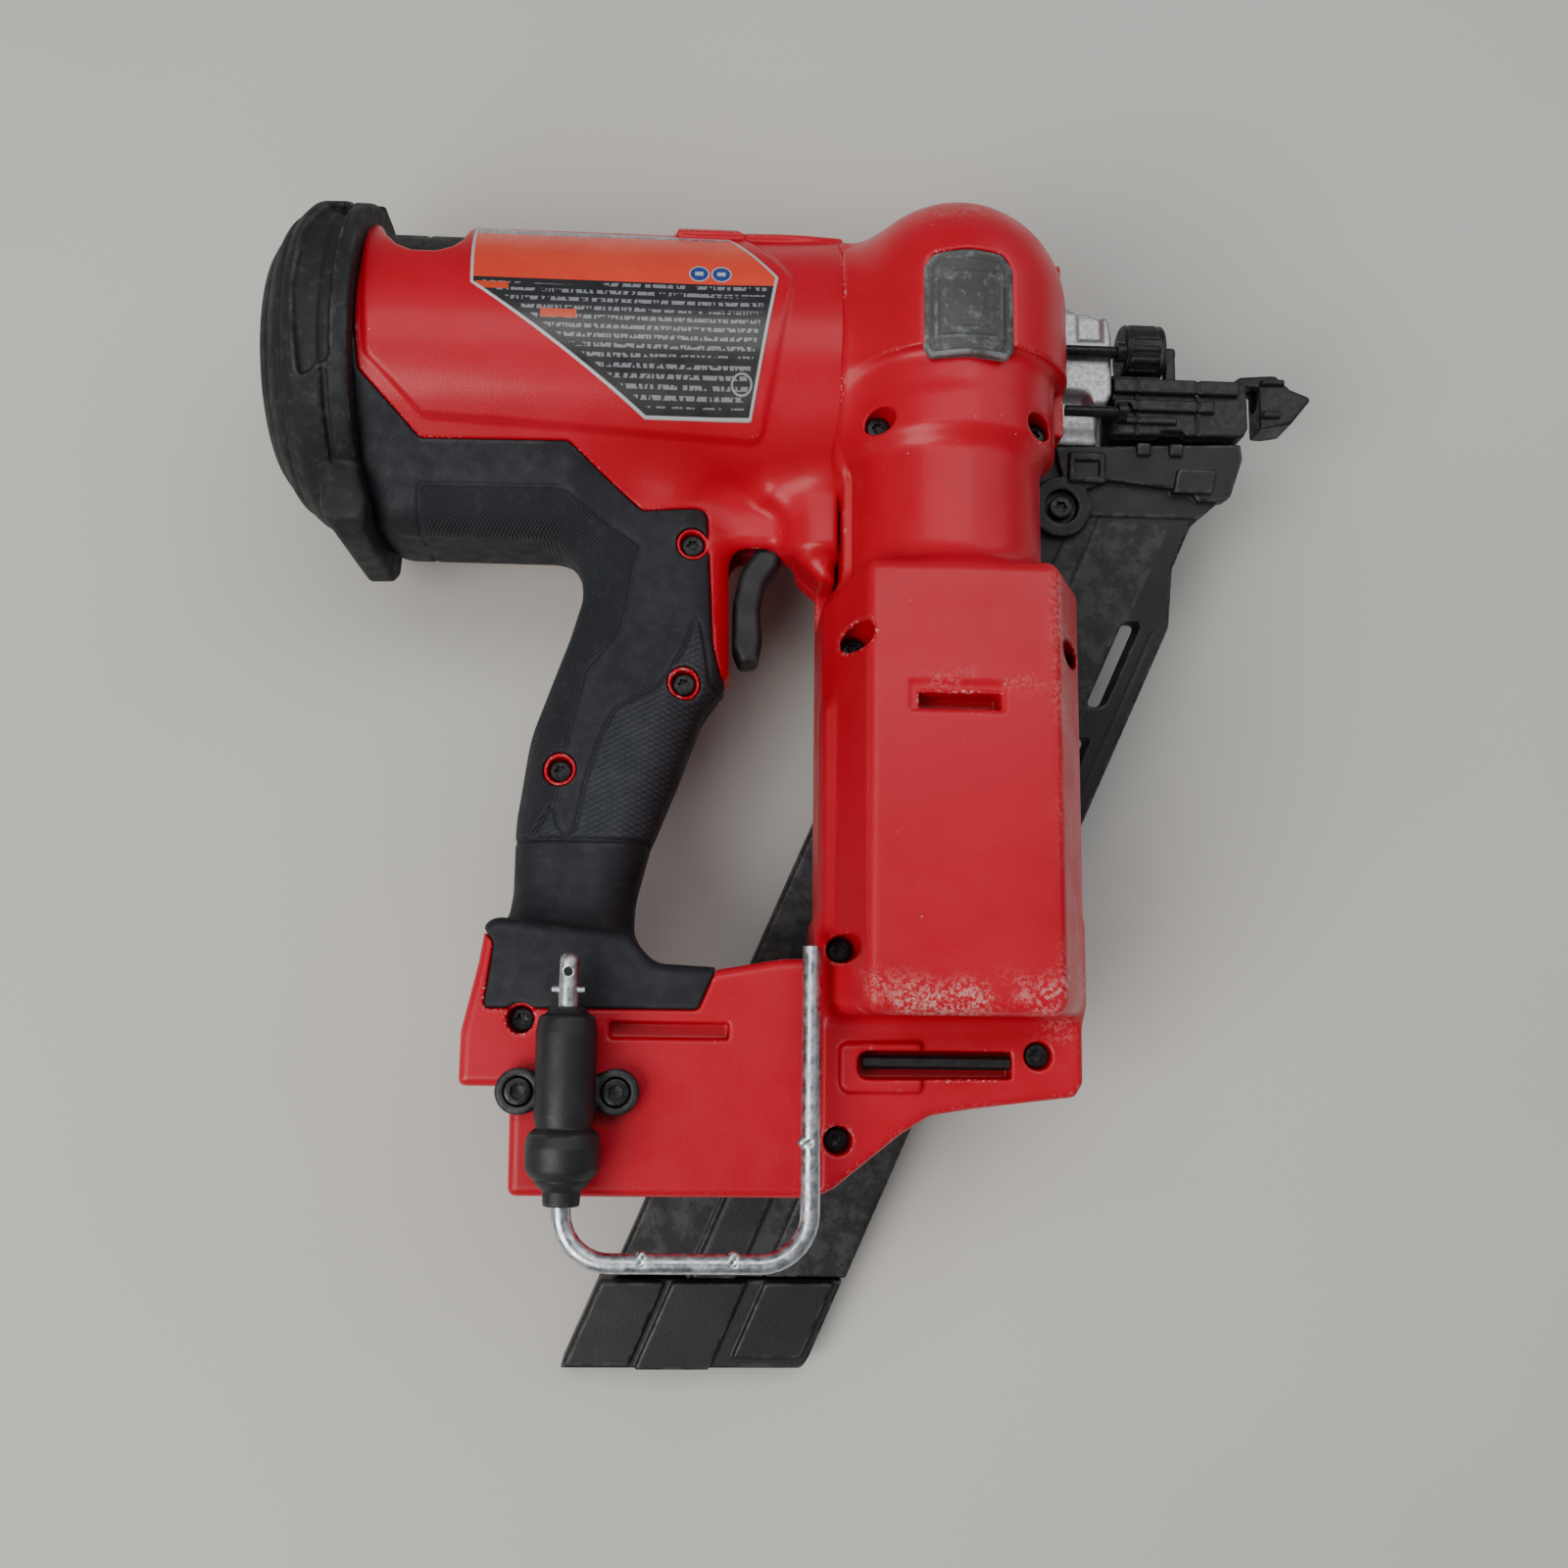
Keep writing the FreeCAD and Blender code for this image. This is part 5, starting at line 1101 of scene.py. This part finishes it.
def contact(p):
    x, y, z = p.T
    tip = smax(rounded(arm_plan(x, y), np.abs(z) - 7.6, 1.0), np.abs(z) - 8.4 - 0.35 * (x + 12), 0.8)
    tip = carve(tip, block(p, (-60, -25.0), (-30, 30), (-20, -4.5), 0.5), 0.6)
    ribs = np.minimum(
        block(p, (-18.8, -10.5), (3.0, 5.2), (5, 9.4), 0.7),
        block(p, (-18.8, -12.5), (-9.6, -7), (5, 9.2), 0.7),
    )
    d = smin(tip, ribs, 0.6)
    d = carve(d, rod(p, 0, (0, 0), -40, 10, NAIL_ROOM, 0.1), 0.4)
    stem = rod(p, 0, STEM, -76.2, -49, 2.0, 0.3)
    foot_web = block(p, (-53.2, -49), (6, 19.4), (-2.4, 2.4), 1)
    return smin(d, smin(foot_web, stem, 0.8), 0.8)


def wheel(p):
    x, y, z = p.T
    r = np.hypot(y - STEM[0], z)
    angle = np.arctan2(z, y - STEM[0])
    d = rounded(r - 10.4, np.abs(x + 62) - 7.7, 1.6)
    flutes = 0.45 * step(np.cos(angle * 14) * 2 - 0.6, 1.2)
    d = d + flutes * (np.abs(x + 62) < 5.2) + groove(np.abs(x + 62) - 5.6, 0.5, 0.5)
    d = carve(d, rod(p, 0, STEM, -58.5, -50, 6.8, 0.5), 0.5)
    return carve(d, rod(p, 0, STEM, -80, -40, 2.35, 0.1), 0.2)


mould("nose_casting", nose_casting, (-99, -23, -21), (-75, 33, 14), 0.6, "cast_aluminium", ["nose_block"])
mould("nose_guide", nosepiece, (-76, -20, -8), (-24, 6, 13), 0.42, "black_steel", ["nosepiece"])
mould(
    "workpiece_tip", contact, (-77, -14, -9), (0, 20, 10), 0.42, "black_steel", ["workpiece_contact"],
    body="contact",
)
mould(
    "depth_thumbwheel", wheel, (-71, 6, -11), (-53, 28, 11), 0.42, "black_steel", ["depth_wheel"],
    body="depth_adjuster",
)

# ---------------- rafter hook

HOOK_X, HOOK_Z, HOOK_R = -261.5, 53.0, 3.0
EAR_REACH, EAR_Y = 15, -254


def arc(cx, cy, radius, start, end, count=10):
    return [(cx + radius * math.cos(t), cy + radius * math.sin(t)) for t in np.linspace(start, end, count)]


wire_path = [(HOOK_X, -214.5)] + arc(-246.5, -289, 15, math.pi, 1.5 * math.pi)
wire_path += arc(-201.5, -289, 15, -0.5 * math.pi, 0) + [(-186.5, -177.5)]
wire_line = Plan(wire_path, 0.3, 10, True)
NIBS = [(-237.0, -301.4, 0, 1), (-209.5, -301.4, 0, 1), (-189.1, -190.0, -1, 0), (-189.1, -268.0, -1, 0)]


def hook_wire(p):
    x, y, z = p.T
    d = np.hypot(wire_line(x, y), z - HOOK_Z) - HOOK_R
    for nx, ny, dx, dy in NIBS:
        d = smin(d, np.sqrt((x - nx) ** 2 + (y - ny) ** 2 + (z - HOOK_Z - 1.2) ** 2) - 1.5, 0.8)
        dent = ball(p, (nx - 2.2 * dx, ny - 2.2 * dy, HOOK_Z + 3.4), 1.1)
        d = carve(d, dent, 0.5)
    return carve(d, rod(p, 2, (HOOK_X, -217.5), 40, 70, 1.3, 0.1), 0.4)


mount_plan = lathe_plan([
    (-228.2, 0), (-228.2, 5.2, 1), (-230.5, 6.6, 1), (-231, 8.6, 1.5), (-236, 9.4, 2), (-261, 9.2, 2),
    (-264.2, 8.4, 2), (-266.5, 10.9, 2), (-270, 11.6, 3), (-277, 11.2, 4), (-281, 8.0, 2), (-283, 5.8, 1),
    (-287.5, 5.5, 0.6), (-287.5, 0),
])


def hook_holder(p):
    y = p[:, 1]
    d = turned(p, mount_plan, 1, (HOOK_X, HOOK_Z))
    d = smin(d, block(p, (-268, -255), (-280, -231), (40.1, 54), 2), 3)
    for sign in (-1, 1):
        ear = rod(p, 2, (HOOK_X + EAR_REACH * sign, EAR_Y), 40.1, 47.2, 7.2, 1.2)
        span = sorted((HOOK_X, HOOK_X + EAR_REACH * sign))
        ear = smin(ear, block(p, span, (-259.5, -248.5), (40.1, 46.5), 1.5), 1.5)
        d = smin(d, ear, 2.5)
    for sign in (-1, 1):
        d = carve(d, rod(p, 2, (HOOK_X + EAR_REACH * sign, EAR_Y), 44.6, 60, 4.6, 0.3), 0.8)
    ring = groove(y + 264.4, 0.5, 0.35) + groove(y + 279.6, 0.4, 0.3)
    return carve(d + ring, rod(p, 1, (HOOK_X, HOOK_Z), -300, -220, HOOK_R + 0.1, 0.1), 0.4)


mould(
    "hook_wire", hook_wire, (-265.5, -308, 49), (-182, -210, 57), 0.42, "zinc_wire", ["hook"],
    body="rafter_hook",
)
mould(
    "hook_holder", hook_holder, (-284.5, -288, 40), (-238.5, -227, 65.5), 0.5, "black_plastic",
    ["hook_mount"],
)

# ---------------- screws

TURN = np.linspace(0, 2 * math.pi, 72, endpoint=False)


def screw_head(place, radius, lobes, drive, depth=2.6):
    """Rings of a screw from its shank's end up over the head and down into its drive."""
    if lobes == 6:
        star = drive * (1 + 0.16 * np.cos(6 * TURN))
    else:
        star = drive / np.cos((TURN + math.pi / 6) % (math.pi / 3) - math.pi / 6)
    flat = np.ones_like(TURN)
    x, y, z = place
    rings = [
        (0.2 * flat, -depth - 7), (1.9 * flat, -depth - 7), (1.9 * flat, -depth), (radius * flat, -depth),
        (radius * flat, -0.5), ((radius - 0.18) * flat, -0.15), ((radius - 0.6) * flat, 0),
        (star + 0.18, 0), (star, -0.15), (star, -1.7), (star * 0.25, -1.95),
    ]
    points = [
        np.stack([x + r * np.cos(TURN), y + r * np.sin(TURN), np.full(len(TURN), z + h)], 1)
        for r, h in rings
    ]
    return np.concatenate(points + [np.array([[x, y, z - 1.95], [x, y, z - depth - 7]])])


def screws(name, spots, radius, lobes, drive, slot_name, stands_for):
    around = len(TURN)
    points, faces = [], []
    for index, spot in enumerate(spots):
        one = screw_head(spot, radius, lobes, drive)
        base = index * len(one)
        rings = (len(one) - 2) // around
        points.append(one)
        for ring in range(rings - 1):
            for k in range(around):
                a, b = base + ring * around + k, base + ring * around + (k + 1) % around
                faces.append((a, b, b + around, a + around))
        last = base + (rings - 1) * around
        for k in range(around):
            faces.append((last + k, last + (k + 1) % around, base + len(one) - 2))
            faces.append((base + (k + 1) % around, base + k, base + len(one) - 1))
    mesh = bpy.data.meshes.new(name)
    mesh.from_pydata(np.concatenate(points) * MM + ORIGIN, [], faces)
    mesh.validate()
    mesh.shade_smooth()
    mesh.set_sharp_from_angle(angle=math.radians(38))
    mesh.materials.append(FINISHES[slot_name])
    piece = bpy.data.objects.new(name, mesh)
    bpy.context.scene.collection.objects.link(piece)
    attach(piece, "housing")
    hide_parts(stands_for)


def risen(spots, lift=3.2):
    return [(x, y, z + lift) for x, y, z in spots]


def leaned(x, y, z):
    c, s = math.cos(math.radians(CANT)), math.sin(math.radians(CANT))
    return (x, y * c - z * s, y * s + z * c)


screws("shell_screw_heads", risen(SHELL_SCREWS), 3.7, 6, 1.75, "black_screw", "shell_screws")
screws("cover_screw_heads", risen(COVER_SCREWS), 3.7, 6, 1.75, "black_screw", "cover_screws")
screws(
    "hook_screw_heads",
    [(HOOK_X + EAR_REACH * sign, EAR_Y, 47.8) for sign in (-1, 1)],
    4.2,
    3,
    2.0,
    "black_screw",
    "hook_screws",
)
screws("magazine_screw_head", [leaned(*MAGAZINE_SCREW, 9.0)], 4.2, 6, 1.9, "black_screw", "magazine_screw")

# ---------------- stage, light and camera


def to_row(point):
    return Vector(np.array(point, float) * MM + ORIGIN)


floor_mesh = bpy.data.meshes.new("floor")
reach = 3.0
floor_mesh.from_pydata([
    (-reach, -reach, 0), (reach, -reach, 0), (reach, reach, 0), (-reach, reach, 0)
], [], [(0, 1, 2, 3)])
floor = bpy.data.objects.new("floor", floor_mesh)
bpy.context.scene.collection.objects.link(floor)
stage = Nodes("stage_floor")
pale = stage.mix(stage.ramp(stage.noise(3, 2), 0.3, 0.7), (0.62, 0.60, 0.56), (0.66, 0.64, 0.60))
floor_mesh.materials.append(stage.finish(pale, 0.8))


def area_light(name, place, target, size, power, tint=(1, 1, 1)):
    data = bpy.data.lights.new(name, "AREA")
    data.shape = "RECTANGLE"
    data.size, data.size_y = size
    data.energy = power
    data.color = tint
    light = bpy.data.objects.new(name, data)
    bpy.context.scene.collection.objects.link(light)
    light.location = place
    light.rotation_mode = "QUATERNION"
    light.rotation_quaternion = (Vector(target) - Vector(place)).to_track_quat("-Z", "Y")


area_light("key", (-0.75, -0.55, 1.15), (0, 0, 0.05), (0.9, 0.9), 15, (1, 0.98, 0.95))
area_light("fill", (0.9, 0.7, 1.1), (0, 0, 0.05), (1.2, 1.2), 5, (0.95, 0.97, 1))
area_light("top", (-0.1, 0.5, 1.4), (0, 0, 0.05), (1.4, 0.6), 6)
world = bpy.data.worlds.new("studio")
world.use_nodes = True
world.node_tree.nodes["Background"].inputs["Color"].default_value = (0.85, 0.88, 0.92, 1)
world.node_tree.nodes["Background"].inputs["Strength"].default_value = 0.22
bpy.context.scene.world = world

camera_data = bpy.data.cameras.new("camera")
camera_data.sensor_width = 36
camera_data.lens = 34.875
camera = bpy.data.objects.new("camera", camera_data)
bpy.context.scene.collection.objects.link(camera)
forward = Vector((0.0512, 0.1661, -0.9848)).normalized()
up = Vector((-0.0209, 0.986, 0.1652))
right = forward.cross(up).normalized()
up = right.cross(forward)
turn = Matrix((right, up, -forward)).transposed()
camera.matrix_world = Matrix.Translation(to_row((-220.6, -237.4, 526.6))) @ turn.to_4x4()
bpy.context.scene.camera = camera
